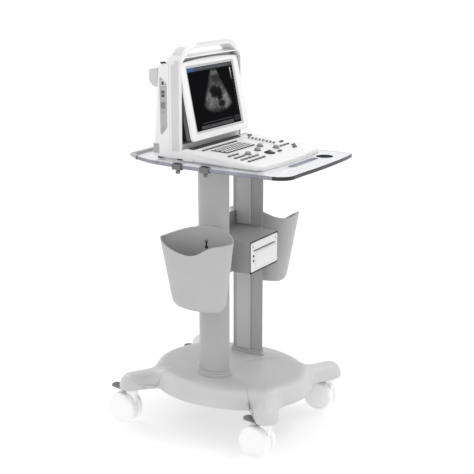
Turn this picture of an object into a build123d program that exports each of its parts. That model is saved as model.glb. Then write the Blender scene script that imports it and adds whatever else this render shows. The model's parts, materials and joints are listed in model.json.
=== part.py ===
from build123d import *
import math
import os

# Portable ultrasound machine on its wheeled trolley, in millimetres.
# Origin: on the floor, midway between the two columns. The operator stands on the -Y side, +X is to the
# operator's right and +Z is up.

# --- trolley: base and casters ---
HUB_A, HUB_B = 214.0, 260.0            # half width and half length of the hub of the base cover
COVER_BOTTOM, COVER_TOP = 119.0, 186.0
COVER_WALL = 4.0
HUB_ROUND = 22.0
LEG_R = 38.0                           # half width of a leg, and the radius of its tip
LEG_TOP = 167.0
LEG_ROUND = 16.0
LEG_INNER = (98.0, 180.0)              # where a leg starts inside the hub
CASTER_X, CASTER_Y = 202.0, 240.0      # swivel axes
FRAME_TOP, FRAME_T = 150.0, 10.0       # steel frame inside the cover
BOSS_R = 20.0
ARM_HALF = 17.0
BALLAST_T = 10.0
WHEEL_R, WHEEL_T = 50.0, 19.0
WHEEL_IN = 9.5                         # from the caster's middle plane to a wheel
TRAIL = 28.0                           # from the swivel axis back to the wheel axle
AXLE_R = 5.0
STEM_R, STEM_TOP = 6.0, 146.0
HEAD_R, HEAD_LOW, HEAD_TOP = 19.0, 101.5, 118.0
HOOD_R, HOOD_HALF = 43.0, 9.0
PEDAL_PIVOT = (13.0, 109.5)            # y from the swivel axis, z
PEDAL_LONG, PEDAL_HALF, PEDAL_T = 60.0, 17.0, 5.0
PEDAL_RISE = 4.0                       # degrees that a released pedal points up
EAR_NOTCH = 6.5                        # room that the pedal's ears turn in, ahead of the pivot
RUN_GAP = 0.05                         # radial clearance of a running fit

# --- trolley: columns, baskets, tray ---
COL_FACE = 96.4                        # flat inner face of a column
COL_HALF = 53.5                        # half depth of a column along Y
COL_BULGE = 40.0                       # how far the round outer face stands out from the flat one
COL_WALL = 4.0
COLLAR_OUT, COLLAR_TOP = 6.0, 199.0
STRIP_T, STRIP_Y = 5.0, (-12.0, 38.0)
TRAY_TOP, TRAY_T = 843.0, 11.0
PLATE_T = 6.0
TRAY_HALF, TRAY_FRONT, TRAY_REAR = 213.0, -311.0, 232.0
TRAY_CORNERS = (85.0, 18.0)            # radii of the left and right front corners
RAIL_REAR, RAIL_W = 283.0, 17.0
CUP_X, CUP_Y, CUP_R = 124.0, -248.0, 24.0
SLOT_X, SLOT_Y, SLOT_HALF = (-71.0, 88.0), -238.0, 10.0
BASKET_TOP_A, BASKET_TOP_B = 60.0, 128.0
BASKET_LOW_A, BASKET_LOW_B = 45.0, 86.0
BASKET_LOW, BASKET_HIGH = 411.0, 662.0
BASKET_WALL = 3.0
BASKET_ROUND = 20.0
KEYHOLE_Z = (590.0, 614.0)

# --- printer between the columns ---
HOUSE_LOW, HOUSE_TOP, HOUSE_T = 508.0, 606.0, 2.0
HOUSE_FRONT, HOUSE_REAR = -114.0, 128.0
HOUSE_HALF = 82.0
REAR_FLANGE_TOP = 648.0
PRN_HALF, PRN_LOW, PRN_TOP, PRN_FRONT = 79.0, 513.0, 602.0, -116.0
DOOR_X, DOOR_Z = (-51.0, 74.0), (519.0, 569.0)
DOOR_PIN_UP = 5.5
ROLL_R, ROLL_HALF, ROLL_Y, ROLL_Z = 23.0, 55.0, -78.0, 545.0
BUTTON_X, POWER_Z, FEED_Z, BUTTON_R = -64.0, 561.0, 546.0, 3.2
BUTTON_TRAVEL = 1.5

# --- ultrasound machine: upright housing ---
BODY_HALF = 165.0
BODY_LOW = 850.0
FACE_Y, BACK_Y = 66.0, 109.0           # front and back of the portal frame
HANDLE_Y = 118.0
SHOULDER_Z = 1105.0                    # above this the frame's outline turns in
SHOULDER_X, SHOULDER_A, SHOULDER_B = 80.0, 85.0, 70.0
GRIP_A, GRIP_B, GRIP_LOW = 68.0, 56.0, 1140.0
HOUSING_TOP = 1120.0                   # level top of the housing behind the handle
RECESS_HALF, RECESS_LOW, RECESS_TOP, RECESS_Y = 161.0, 890.0, 1134.0, 99.5
CHIN_Y = 70.0
INLET_X, INLET_Z = (80.0, 128.0), (872.0, 900.0)
LATCH_XY, LATCH_R = (-147.0, 136.0), 6.0
SHELL = 3.0

# --- screen ---
TILT = 11.7                            # degrees that the screen leans back
LCD_HALF = (123.0, 92.2)
LCD_Y, LCD_Z = 54.4, 1015.6            # centre of the picture area
BEZEL_HALF, BEZEL_UP, BEZEL_DOWN = 157.0, 110.0, 117.0
BEZEL_CROWN = 6.0                      # rise of the bezel's top edge at its middle
BEZEL_T, SCREEN_T = 9.0, 22.0
SCREEN_PIN_R = 4.0
SCREEN_PIN_UP, SCREEN_PIN_BACK = 104.0, 16.0
BACK_ROUND = 7.4                       # the cover's top rear edge is round about the pin
LUG_X, LUG_T = 120.0, 6.0

# --- control panel ---
HINGE_Y, HINGE_Z = 48.5, 864.0
BARREL_R, BARREL_HALF = 16.5, 116.0
BOSS_X = (118.0, 157.0)
PIN_R = 4.0
PANEL_REAR_TOP, PANEL_FRONT_TOP = 882.0, 858.0
PANEL_REAR_Y, PANEL_FRONT_Y = 62.0, -206.0
PANEL_BOW = 12.0                       # the front edge stands out this far in the middle
PANEL_LOW = 845.5
PANEL_SPLIT = 12.0                     # thickness of the top shell below the sloping face
PANEL_REAR_HALF, PANEL_FRONT_HALF = 172.0, 184.0
KEY_TRAVEL = 1.5
KEY_UP = 3.0                           # a key stands this far above the panel
KEY_SUNK = 3.0
BALL_R = 12.0
BALL_SUNK = 4.0
SLIDER_X = 112.0
KNOBS = {"gain_knob": (42.0, -74.0), "depth_knob": (-10.0, -96.0),
         "menu_knob": (63.0, -117.0), "zoom_knob": (-76.0, -103.0)}
KNOB_R, KNOB_UP = 9.0, 7.0
BALL_XY = (-8.0, -136.0)

SLOPE = math.degrees(math.atan2(PANEL_REAR_TOP - PANEL_FRONT_TOP, PANEL_REAR_Y - PANEL_FRONT_Y))
PANEL = Plane(origin=(0, PANEL_REAR_Y, PANEL_REAR_TOP), x_dir=(1, 0, 0),
              z_dir=(0, -math.sin(math.radians(SLOPE)), math.cos(math.radians(SLOPE))))
SCREEN = Plane(origin=(0, LCD_Y, LCD_Z), x_dir=(1, 0, 0),
               z_dir=(0, -math.cos(math.radians(TILT)), math.sin(math.radians(TILT))))


def box(x, y, z):
    """A box from its (low, high) pairs along X, Y and Z."""
    size = [pair[1] - pair[0] for pair in (x, y, z)]
    centre = [(pair[1] + pair[0]) / 2 for pair in (x, y, z)]
    return Pos(*centre) * Box(*size)


def rod(radius, start, end):
    """A round rod between two points that differ along one axis."""
    line = Vector(*end) - Vector(*start)
    plane = Plane(origin=start, z_dir=line.normalized())
    return extrude(plane * Circle(radius), line.length)


def across(points, half_x):
    """A prism along X from (y, z) corners."""
    face = Plane.YZ * make_face(Polyline(*points, close=True))
    return extrude(face, half_x, both=True)


def capsule(start, end, radius, low, high):
    """An upright prism with two round ends, from start to end in plan."""
    length = math.dist(start, end)
    turn = math.degrees(math.atan2(end[1] - start[1], end[0] - start[0]))
    middle = ((start[0] + end[0]) / 2, (start[1] + end[1]) / 2, low)
    return extrude(Pos(*middle) * Rot(0, 0, turn) * SlotCenterToCenter(length, 2 * radius), high - low)


# ---------------------------------------------------------------- base and casters

CORNERS = {"fl": (-1, -1), "fr": (1, -1), "rl": (-1, 1), "rr": (1, 1)}


def base_blank(shrink, low, top_drop):
    """The hub and its four legs, shrunk by a wall thickness for the inside."""
    hub = extrude(Pos(0, 0, low) * Ellipse(HUB_A - shrink, HUB_B - shrink), COVER_TOP - top_drop - low)
    hub = fillet(hub.edges().group_by(Axis.Z)[-1], HUB_ROUND - shrink)
    blank = hub
    for sx, sy in CORNERS.values():
        start = (sx * LEG_INNER[0], sy * LEG_INNER[1])
        leg = capsule(start, (sx * CASTER_X, sy * CASTER_Y), LEG_R - shrink, low, LEG_TOP - top_drop)
        blank += fillet(leg.edges().group_by(Axis.Z)[-1], LEG_ROUND - shrink)
    return blank


def base_cover():
    cover = base_blank(0, COVER_BOTTOM, 0) - base_blank(COVER_WALL, COVER_BOTTOM - 1, COVER_WALL)
    for side in (-1, 1):
        cover -= column_profile(side, 1.0, COVER_BOTTOM, COVER_TOP + 10)
    return cover


def base_frame():
    """Steel plate with four arms, each ending in a boss for a caster's stem."""
    low = FRAME_TOP - FRAME_T
    plan = Rectangle(330, 124) + Rectangle(2 * LEG_INNER[0] + 36, 2 * LEG_INNER[1])
    for sx, sy in CORNERS.values():
        start, tip = (sx * LEG_INNER[0], sy * (LEG_INNER[1] - 10)), (sx * CASTER_X, sy * CASTER_Y)
        turn = math.degrees(math.atan2(tip[1] - start[1], tip[0] - start[0]))
        middle = Pos((start[0] + tip[0]) / 2, (start[1] + tip[1]) / 2)
        plan += middle * Rot(0, 0, turn) * Rectangle(math.dist(start, tip), 2 * ARM_HALF)
    frame = extrude(Pos(0, 0, low) * plan, FRAME_T)
    for sx, sy in CORNERS.values():
        tip = (sx * CASTER_X, sy * CASTER_Y)
        frame += rod(BOSS_R, (*tip, COVER_BOTTOM), (*tip, FRAME_TOP + 1))
        frame -= rod(STEM_R + RUN_GAP, (*tip, COVER_BOTTOM - 1), (*tip, STEM_TOP + 1))
    return frame


def ballast_plate():
    """Steel plate that closes the hub from below and keeps the trolley steady."""
    plan = Ellipse(HUB_A - COVER_WALL - 3, HUB_B - COVER_WALL - 3)
    return extrude(Pos(0, 0, COVER_BOTTOM + 1) * plan, BALLAST_T) - boss_clearance()


def boss_clearance():
    gaps = []
    for sx, sy in CORNERS.values():
        tip = (sx * CASTER_X, sy * CASTER_Y)
        gaps.append(rod(BOSS_R + 6, (*tip, COVER_BOTTOM - 1), (*tip, FRAME_TOP)))
    return gaps


def caster_fork(x, y):
    """Swivel head, stem and the hood between the two wheels, with the axle's bore."""
    fork = rod(HEAD_R, (x, y, HEAD_LOW), (x, y, HEAD_TOP)) + rod(STEM_R, (x, y, HEAD_TOP), (x, y, STEM_TOP))
    yw = y + TRAIL
    hood = rod(HOOD_R, (x - HOOD_HALF, yw, WHEEL_R), (x + HOOD_HALF, yw, WHEEL_R))
    neck = Pos(x, 0, 0) * across([(y - 17, HEAD_LOW + 2), (y - 12, 62), (yw, 62), (yw + 20, 88),
                                  (y + 17, HEAD_LOW + 2)], HOOD_HALF)
    ears = box((x - 7, x + 7), (y + 10, y + PEDAL_PIVOT[0] + 4), (HEAD_LOW, PEDAL_PIVOT[1] + 4))
    fork += hood + neck + ears
    fork -= rod(AXLE_R + RUN_GAP, (x - 20, yw, WHEEL_R), (x + 20, yw, WHEEL_R))
    for side in (-1, 1):
        xs = sorted((x + side * 8, x + side * 20))
        fork -= box(xs, (y + PEDAL_PIVOT[0] - EAR_NOTCH, y + 30), (HEAD_LOW - 1, HEAD_TOP - 2))
    return fork - pedal_bore(x, y)


def pedal_bore(x, y):
    pivot = (y + PEDAL_PIVOT[0], PEDAL_PIVOT[1])
    return rod(2.0 + RUN_GAP, (x - 30, *pivot), (x + 30, *pivot))


def caster_wheels(x, y):
    """Two wheels and the axle that turns with them, as separate solids."""
    yw = y + TRAIL
    out = WHEEL_IN + WHEEL_T
    solids = [rod(AXLE_R, (x - out + 4, yw, WHEEL_R), (x + out - 4, yw, WHEEL_R))]
    for side in (-1, 1):
        tread = rod(WHEEL_R, (x + side * WHEEL_IN, yw, WHEEL_R), (x + side * out, yw, WHEEL_R))
        rims = tread.edges().filter_by(GeomType.CIRCLE)
        tread = fillet(rims.sort_by(Axis.X)[-1 if side > 0 else 0], 9)
        tread -= rod(AXLE_R, (x, yw, WHEEL_R), (x + side * (out - 4), yw, WHEEL_R))
        solids.append(tread)
    return Compound(children=solids)


def caster_pedal(x, y):
    """A brake pedal: two side ears on a pin, and a pad that points back over the wheels."""
    py, pz = y + PEDAL_PIVOT[0], PEDAL_PIVOT[1]
    pad = box((x - PEDAL_HALF, x + PEDAL_HALF), (py + 7, py + PEDAL_LONG), (pz - 1, pz - 1 + PEDAL_T))
    pad = fillet(pad.edges().filter_by(Axis.Z).group_by(Axis.Y)[-1], 14)
    for side in (-1, 1):
        ear = box((x + side * 12.5 - 4, x + side * 12.5 + 4), (py - 4, py + 12), (pz - 4, pz + 4))
        pad += ear
    pad += rod(2.0, (x - 16, py, pz), (x + 16, py, pz))
    hinge = Axis((x, py, pz), (1, 0, 0))
    return pad.rotate(hinge, PEDAL_RISE)


# ---------------------------------------------------------------- columns, tray, baskets

def column_profile(side, grow, low, high):
    """A D-section prism: flat towards the trolley's middle, round outside."""
    half = COL_HALF + grow
    flat = COL_FACE - grow
    top = COL_FACE + COL_BULGE + grow
    edge = [Line((flat, half), (flat, -half)), ThreePointArc((flat, -half), (top, 0), (flat, half))]
    shape = extrude(Pos(0, 0, low) * make_face(edge), high - low)
    return shape if side > 0 else mirror(shape, Plane.YZ)


def column(side):
    tray_low = TRAY_TOP - TRAY_T - PLATE_T
    outer = column_profile(side, 0, FRAME_TOP, tray_low)
    shell = outer - column_profile(side, -COL_WALL, FRAME_TOP - 1, tray_low + 1)
    outer_x = side * (COL_FACE + COL_BULGE)
    for z in (KEYHOLE_Z[1] - 3, 470):
        shell -= rod(2.4, (outer_x - 12, 0, z), (outer_x + 12, 0, z))
    return shell


def column_collars():
    rings = []
    for side in (-1, 1):
        ring = column_profile(side, COLLAR_OUT, COVER_TOP, COLLAR_TOP)
        rings.append(ring - column_profile(side, 0, COVER_TOP - 1, COLLAR_TOP + 1))
    return Compound(children=rings)


def column_cover_strips():
    strips = []
    for side in (-1, 1):
        for low, high in ((COLLAR_TOP + 1, HOUSE_LOW - 3), (HOUSE_TOP + 3, TRAY_TOP - TRAY_T - PLATE_T)):
            x = sorted((side * (COL_FACE - STRIP_T), side * COL_FACE))
            strips.append(box(x, STRIP_Y, (low, high)))
    return Compound(children=strips)


def tray_plate_outline():
    """Plan of the clear plate: bowed front, wide left and tight right front corner, narrower rear."""
    half = TRAY_HALF
    left, right = TRAY_CORNERS
    front_left, front_right = TRAY_FRONT + 3, TRAY_FRONT + 11
    outline = [
        ThreePointArc((-half + left, front_left), (20, TRAY_FRONT), (half - right, front_right)),
        RadiusArc((half - right, front_right), (half, front_right + right), -right),
        Line((half, front_right + right), (half, 20)),
        Line((half, 20), (half - 24, 165)),
        Line((half - 24, 165), (half - 52, TRAY_REAR)),
        Line((half - 52, TRAY_REAR), (-half + 52, TRAY_REAR)),
        Line((-half + 52, TRAY_REAR), (-half + 24, 165)),
        Line((-half + 24, 165), (-half, 20)),
        Line((-half, 20), (-half, front_left + left)),
        RadiusArc((-half, front_left + left), (-half + left, front_left), -left),
    ]
    return make_face(outline)


def tray():
    plate = extrude(Pos(0, 0, TRAY_TOP - TRAY_T) * tray_plate_outline(), TRAY_T)
    middle = (SLOT_X[0] + SLOT_X[1]) / 2
    slot = SlotOverall(SLOT_X[1] - SLOT_X[0], 2 * SLOT_HALF)
    plate -= extrude(Pos(middle, SLOT_Y, TRAY_TOP - TRAY_T - 1) * slot, TRAY_T + 2)
    plate -= rod(CUP_R, (CUP_X, CUP_Y, TRAY_TOP - TRAY_T - 1), (CUP_X, CUP_Y, TRAY_TOP + 1))
    return plate


def tray_rear_rail():
    """The bent handle bar behind the plate, in one plane with it."""
    half = TRAY_HALF - 53
    outer = [(-half - 3, TRAY_REAR + 0.3), (-half + 34, RAIL_REAR), (half - 34, RAIL_REAR),
             (half + 3, TRAY_REAR + 0.3)]
    inner = [(half - 20, TRAY_REAR + 0.3), (half - 42, RAIL_REAR - RAIL_W), (-half + 42, RAIL_REAR - RAIL_W),
             (-half + 20, TRAY_REAR + 0.3)]
    bar = extrude(Pos(0, 0, TRAY_TOP - 12) * make_face(Polyline(*outer, *inner, close=True)), 11)
    return fillet(bar.edges().filter_by(Axis.Z).group_by(Axis.Y)[-1], 16)


def tray_clips():
    """Four clips that grip the plate's side edges."""
    clips = []
    for side in (-1, 1):
        for y in (-42.0, -8.0 + 60.0):
            x = sorted((side * (TRAY_HALF - 12), side * (TRAY_HALF + 4)))
            jaw = box(x, (y - 15, y + 15), (TRAY_TOP - TRAY_T - 4, TRAY_TOP + 3))
            gap_x = sorted((side * (TRAY_HALF - 40), side * (TRAY_HALF + 0.2)))
            edge_gap = box(gap_x, (y - 16, y + 16), (TRAY_TOP - TRAY_T - 0.1, TRAY_TOP + 0.1))
            clips.append(jaw - edge_gap)
    return Compound(children=clips)


def tray_support_plate():
    z = (TRAY_TOP - TRAY_T - PLATE_T, TRAY_TOP - TRAY_T)
    return fillet(box((-COL_FACE - 36, COL_FACE + 36), (-50, 50), z).edges().filter_by(Axis.Z), 20)


def basket_blank(shrink, low):
    """A tapered oval bucket, straight on its back, round at the bottom edge."""
    back = COL_FACE + COL_BULGE
    foot = Pos(back + BASKET_LOW_A, 0, low) * Ellipse(BASKET_LOW_A - shrink, BASKET_LOW_B - shrink)
    mouth = Pos(back + BASKET_TOP_A, 0, BASKET_HIGH) * Ellipse(BASKET_TOP_A - shrink, BASKET_TOP_B - shrink)
    bucket = loft([foot, mouth])
    return fillet(bucket.edges().group_by(Axis.Z)[0], BASKET_ROUND - shrink)


def basket(side):
    back = COL_FACE + COL_BULGE + 0.3
    bucket = Pos(0.3, 0, 0) * (basket_blank(0, BASKET_LOW) - basket_blank(BASKET_WALL, BASKET_LOW + BASKET_WALL))
    out = back + 2 * BASKET_TOP_A
    rim = [(back - 5, 657), (back + 25, 647), (back + 60, 628), (out - 20, 600), (out + 5, 590)]
    top = [(out + 5, BASKET_HIGH + 20), (back - 5, BASKET_HIGH + 20)]
    profile = Plane.XZ * make_face([Spline(*rim), Polyline(rim[-1], *top, rim[0])])
    bucket -= extrude(profile, 200, both=True)
    wall = (back - 6, back + 8)
    bucket -= box(wall, (-2.6, 2.6), KEYHOLE_Z)
    bucket -= rod(5.5, (wall[0], 0, KEYHOLE_Z[0]), (wall[1], 0, KEYHOLE_Z[0]))
    bucket -= rod(2.6, (wall[0], 0, KEYHOLE_Z[1]), (wall[1], 0, KEYHOLE_Z[1]))
    bucket -= rod(2.6, (wall[0], 0, 470), (wall[1], 0, 470))
    return bucket if side > 0 else mirror(bucket, Plane.YZ)


def fasteners():
    """Basket screws in both columns and the two screws of the printer's front."""
    screws = []
    face = COL_FACE + COL_BULGE
    for side in (-1, 1):
        for z in (KEYHOLE_Z[1] - 3, 470):
            shank = rod(2.4, (side * (face - 8), 0, z), (side * (face + 4.5), 0, z))
            screws.append(shank + rod(4.6, (side * (face + 4.5), 0, z), (side * (face + 7), 0, z)))
    for x in (-67.0, 67.0):
        screws.append(rod(3.2, (x, PRN_FRONT - 1.2, 589), (x, PRN_FRONT, 589)))
    return Compound(children=screws)


# ---------------------------------------------------------------- printer

def printer_housing():
    """Sheet-metal box between the columns, open in front, with a taller flange at its rear."""
    z = (HOUSE_LOW, HOUSE_TOP)
    wide = COL_FACE - 0.1
    outer = box((-HOUSE_HALF, HOUSE_HALF), (HOUSE_FRONT, HOUSE_REAR), z)
    outer += box((-wide, wide), (-COL_HALF, HOUSE_REAR), z)
    inner_z = (HOUSE_LOW + HOUSE_T, HOUSE_TOP - HOUSE_T)
    inner = box((-HOUSE_HALF + HOUSE_T, HOUSE_HALF - HOUSE_T), (HOUSE_FRONT - 1, HOUSE_REAR - HOUSE_T), inner_z)
    outer -= inner
    outer += box((-wide, wide), (COL_HALF - 8, COL_HALF - 5), (HOUSE_TOP - 1, REAR_FLANGE_TOP))
    return outer


def printer_chassis():
    body = box((-PRN_HALF + 1, PRN_HALF - 1), (PRN_FRONT + 8, 112), (PRN_LOW, PRN_TOP))
    body -= box((-ROLL_HALF - 6, ROLL_HALF + 20), (PRN_FRONT, ROLL_Y + 30), (ROLL_Z - 29, ROLL_Z + 29))
    body -= box((BUTTON_X - 5, BUTTON_X + 5), (PRN_FRONT, PRN_FRONT + 16), (FEED_Z - 6, POWER_Z + 6))
    return body


def printer_front():
    plate = box((-PRN_HALF, PRN_HALF), (PRN_FRONT, PRN_FRONT + 8), (PRN_LOW, PRN_TOP))
    plate -= box((-63, 68), (PRN_FRONT - 1, PRN_FRONT + 9), (573.5, 577.5))
    plate -= box((DOOR_X[0] - 0.5, DOOR_X[1] + 0.5), (PRN_FRONT - 1, PRN_FRONT + 9),
                 (DOOR_Z[0] - 0.5, DOOR_Z[1] + 0.5))
    for z in (POWER_Z, FEED_Z):
        plate -= rod(BUTTON_R + 0.3, (BUTTON_X, PRN_FRONT - 1, z), (BUTTON_X, PRN_FRONT + 9, z))
    pin = (DOOR_Z[0] + DOOR_PIN_UP, PRN_FRONT + 4)
    for x in (DOOR_X[0] - 0.5, DOOR_X[1] + 0.5):
        plate -= rod(1.5 + RUN_GAP, (x - 4, pin[1], pin[0]), (x + 4, pin[1], pin[0]))
    return plate


def printer_door():
    """Paper door, hinged on two stub pins along its bottom edge."""
    y = (PRN_FRONT - 1.0, PRN_FRONT + 4)
    door = box(DOOR_X, y, DOOR_Z)
    low = door.edges().filter_by(Axis.X).group_by(Axis.Z)[0]
    door = fillet(low.sort_by(Axis.Y)[0], 4.5)
    pin = (DOOR_Z[0] + DOOR_PIN_UP, PRN_FRONT + 4)
    door += rod(3.4, (DOOR_X[0], pin[1], pin[0]), (DOOR_X[1], pin[1], pin[0]))
    door += rod(1.5, (DOOR_X[0] - 3.5, pin[1], pin[0]), (DOOR_X[1] + 3.5, pin[1], pin[0]))
    return door


def printer_paper_roll():
    roll = rod(ROLL_R, (-ROLL_HALF + 8, ROLL_Y, ROLL_Z), (ROLL_HALF + 8, ROLL_Y, ROLL_Z))
    return roll - rod(6.0, (-ROLL_HALF, ROLL_Y, ROLL_Z), (ROLL_HALF + 20, ROLL_Y, ROLL_Z))


def printer_button(z):
    return rod(BUTTON_R, (BUTTON_X, PRN_FRONT - 1.8, z), (BUTTON_X, PRN_FRONT + 8, z))


# ---------------------------------------------------------------- machine housing

def arch_face(grow_a, grow_b, foot_z):
    """The portal frame's outline in the XZ plane: straight legs, elliptical shoulders and a flat top."""
    reach = SHOULDER_X + grow_a
    top = SHOULDER_Z + grow_b
    edges = [
        Line((-reach, foot_z), (reach, foot_z)),
        Line((reach, foot_z), (reach, SHOULDER_Z)),
        EllipticalCenterArc((SHOULDER_X, SHOULDER_Z), grow_a, grow_b, 0, arc_size=90),
        Line((SHOULDER_X, top), (-SHOULDER_X, top)),
        EllipticalCenterArc((-SHOULDER_X, SHOULDER_Z), grow_a, grow_b, 90, arc_size=90),
        Line((-reach, SHOULDER_Z), (-reach, foot_z)),
    ]
    return Plane.XZ * make_face(edges)


def arch(grow_a, grow_b, foot_z, y):
    """The outline as a prism between two planes along Y."""
    face = Pos(0, y[0], 0) * arch_face(grow_a, grow_b, foot_z)
    return extrude(face, y[1] - y[0], dir=(0, 1, 0))


def front_frame():
    """Portal frame with the carry handle, the screen's recess, its hinge lugs and the panel's bosses."""
    frame = arch(SHOULDER_A, SHOULDER_B, BODY_LOW, (FACE_Y, BACK_Y))
    rear = arch(SHOULDER_A, SHOULDER_B, SHOULDER_Z - 2, (BACK_Y - 1, HANDLE_Y))
    frame += rear - box((-200, 200), (BACK_Y, 200), (SHOULDER_Z - 5, HOUSING_TOP + 0.2))
    grip = arch(GRIP_A, GRIP_B, SHOULDER_Z - 2, (FACE_Y - 1, HANDLE_Y + 1))
    frame -= grip - box((-200, 200), (0, 200), (SHOULDER_Z - 5, GRIP_LOW))
    frame -= box((-RECESS_HALF, RECESS_HALF), (FACE_Y - 1, RECESS_Y), (RECESS_LOW, RECESS_TOP))
    frame -= box((-200, 200), (FACE_Y - 1, CHIN_Y), (BODY_LOW - 1, RECESS_LOW))
    pin = screen_pin_point()
    for side in (-1, 1):
        x = sorted((side * (LUG_X - LUG_T / 2), side * (LUG_X + LUG_T / 2)))
        lug = box(x, (pin[0], RECESS_Y + 0.5), (pin[1] - 6, pin[1] + 6))
        lug += rod(6.0, (x[0], *pin), (x[1], *pin))
        frame += lug - rod(SCREEN_PIN_R + RUN_GAP, (x[0] - 1, *pin), (x[1] + 1, *pin))
        xb = sorted((side * BOSS_X[0], side * BOSS_X[1]))
        boss = rod(BARREL_R, (xb[0], HINGE_Y, HINGE_Z), (xb[1], HINGE_Y, HINGE_Z))
        boss += box(xb, (HINGE_Y, CHIN_Y + 1), (HINGE_Z - 14, HINGE_Z + 2))
        frame += boss - rod(PIN_R + RUN_GAP, (xb[0] - 1, HINGE_Y, HINGE_Z), (xb[1] + 1, HINGE_Y, HINGE_Z))
    return frame


def housing_blank(shrink):
    """Upright housing behind the frame: its rear leans in towards the top."""
    side = [(BACK_Y + 0.1 - shrink, BODY_LOW + shrink), (172 - shrink, BODY_LOW + shrink),
            (169 - shrink, 880), (151.5 - shrink, 1106), (150 - shrink, HOUSING_TOP - 5 - shrink),
            (145, HOUSING_TOP - shrink), (BACK_Y + 0.1 - shrink, HOUSING_TOP - shrink)]
    block = across(side, BODY_HALF - 0.5 - shrink)
    return block & arch(SHOULDER_A - 0.5 - shrink, SHOULDER_B - shrink, BODY_LOW - 5, (BACK_Y - 5, 220))


def main_housing():
    shell = housing_blank(0) - housing_blank(SHELL)
    shell -= port_panel_prism(0.2, 4.2)
    shell -= box((INLET_X[0] - 0.2, INLET_X[1] + 0.2), (150, 180), (INLET_Z[0] - 0.2, INLET_Z[1] + 0.2))
    return shell - rod(LATCH_R + RUN_GAP, (*LATCH_XY, HOUSING_TOP - 12), (*LATCH_XY, HOUSING_TOP + 1))


def port_panel_prism(grow, depth):
    """The side port panel's trapezoid, as a prism in the left wall."""
    corners = [(141 + grow, 1086 + grow), (116 - grow, 1064 + grow), (116 - grow, 937 - grow),
               (140 + grow, 910 - grow)]
    x = -BODY_HALF + 0.5
    face = Plane.YZ * make_face(Polyline(*corners, close=True))
    return extrude(Pos(x - 1, 0, 0) * face, depth + 1, dir=(1, 0, 0))


def side_port_panel():
    plate = port_panel_prism(0, 4.0) - box((-BODY_HALF - 5, -BODY_HALF + 2.5), (90, 170), (880, 1110))
    return plate + port_panel_prism(-3, 6.0) - box((-BODY_HALF - 5, -BODY_HALF + 2.5), (90, 170), (880, 1110))


def side_ports():
    """Sockets on the side panel and the power inlet low on the back."""
    x = (-BODY_HALF + 2.5, -BODY_HALF - 0.5)
    ports = [
        box(sorted(x), (122, 136), (1034, 1049)),
        box(sorted(x), (121, 135), (1004, 1012)),
        box(sorted(x), (121, 135), (1014, 1022)),
        box(sorted(x), (120, 136), (972, 990)),
        rod(4.5, (x[0], 128, 960), (x[1], 128, 960)),
        rod(6.0, (x[0], 131, 932), (x[1], 131, 932)),
        box(INLET_X, (157, 164), INLET_Z),
    ]
    return Compound(children=ports)


def probe_connector():
    """Socket housing on the rear left for the scanning probe's plug."""
    shape = [(151.8, 1107), (182, 1102), (184, 1094), (182, 1066), (170, 1054), (155.5, 1050)]
    block = Pos(-104, 0, 0) * across(shape, 54)
    return block - box((-140, -68), (176, 190), (1064, 1096)) - housing_blank(-0.1)


def probe_latch():
    """Quarter-turn lever that locks the probe's plug, on the housing's top rear corner."""
    x, y = LATCH_XY
    hub = rod(LATCH_R, (x, y, HOUSING_TOP - 8), (x, y, HOUSING_TOP + 3))
    lever = box((x - 16, x + 2), (y - 4.5, y + 4.5), (HOUSING_TOP + 0.6, HOUSING_TOP + 4.6))
    return hub + fillet(lever.edges().filter_by(Axis.Z), 1.5)


def rubber_feet():
    feet = []
    for x in (-140, 140):
        for y in (88, 156):
            feet.append(rod(10.0, (x, y, TRAY_TOP), (x, y, BODY_LOW)))
    return Compound(children=feet)


def main_board():
    board = box((-145, 145), (116, 118), (890, 1085))
    for x, z in ((-80, 1020), (0, 960), (80, 1030)):
        board += box((x - 20, x + 20), (118, 123), (z - 20, z + 20))
    return board


def battery_pack():
    return fillet(box((-60, 60), (112, 158), (856, 882)).edges().filter_by(Axis.X), 3)


# ---------------------------------------------------------------- screen

def screen_pin_point():
    """(y, z) of the screen's hinge pin."""
    point = SCREEN.from_local_coords((0, SCREEN_PIN_UP, -SCREEN_PIN_BACK))
    return (point.Y, point.Z)


def screen_slab(half, up, down, front, back, corner):
    """A rounded slab parallel to the screen; front and back count from the bezel's front face."""
    outline = Pos(0, (up - down) / 2) * RectangleRounded(2 * half, up + down, corner)
    return extrude(SCREEN * Pos(0, 0, -back) * outline, back - front)


def screen_bezel():
    bezel = screen_slab(BEZEL_HALF, BEZEL_UP, BEZEL_DOWN, 0, BEZEL_T, 12)
    ends = BEZEL_HALF - 12
    top = ThreePointArc((-ends, BEZEL_UP), (0, BEZEL_UP + BEZEL_CROWN), (ends, BEZEL_UP))
    crown = make_face([top, Polyline((ends, BEZEL_UP), (ends, 95), (-ends, 95), (-ends, BEZEL_UP))])
    bezel += extrude(SCREEN * Pos(0, 0, -BEZEL_T) * crown, BEZEL_T)
    face = bezel.faces().sort_by(Axis(SCREEN.origin, SCREEN.z_dir))[-1]
    bezel = fillet(face.edges(), 3)
    bezel -= screen_slab(LCD_HALF[0], LCD_HALF[1], LCD_HALF[1], -1, BEZEL_T + 1, 1)
    return bezel - screen_slab(LCD_HALF[0] + 5, LCD_HALF[1] + 5, LCD_HALF[1] + 5, 3, BEZEL_T + 1, 1)


def lcd_panel():
    return screen_slab(LCD_HALF[0] + 4.5, LCD_HALF[1] + 4.5, LCD_HALF[1] + 4.5, 3.1, BEZEL_T, 1)


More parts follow.
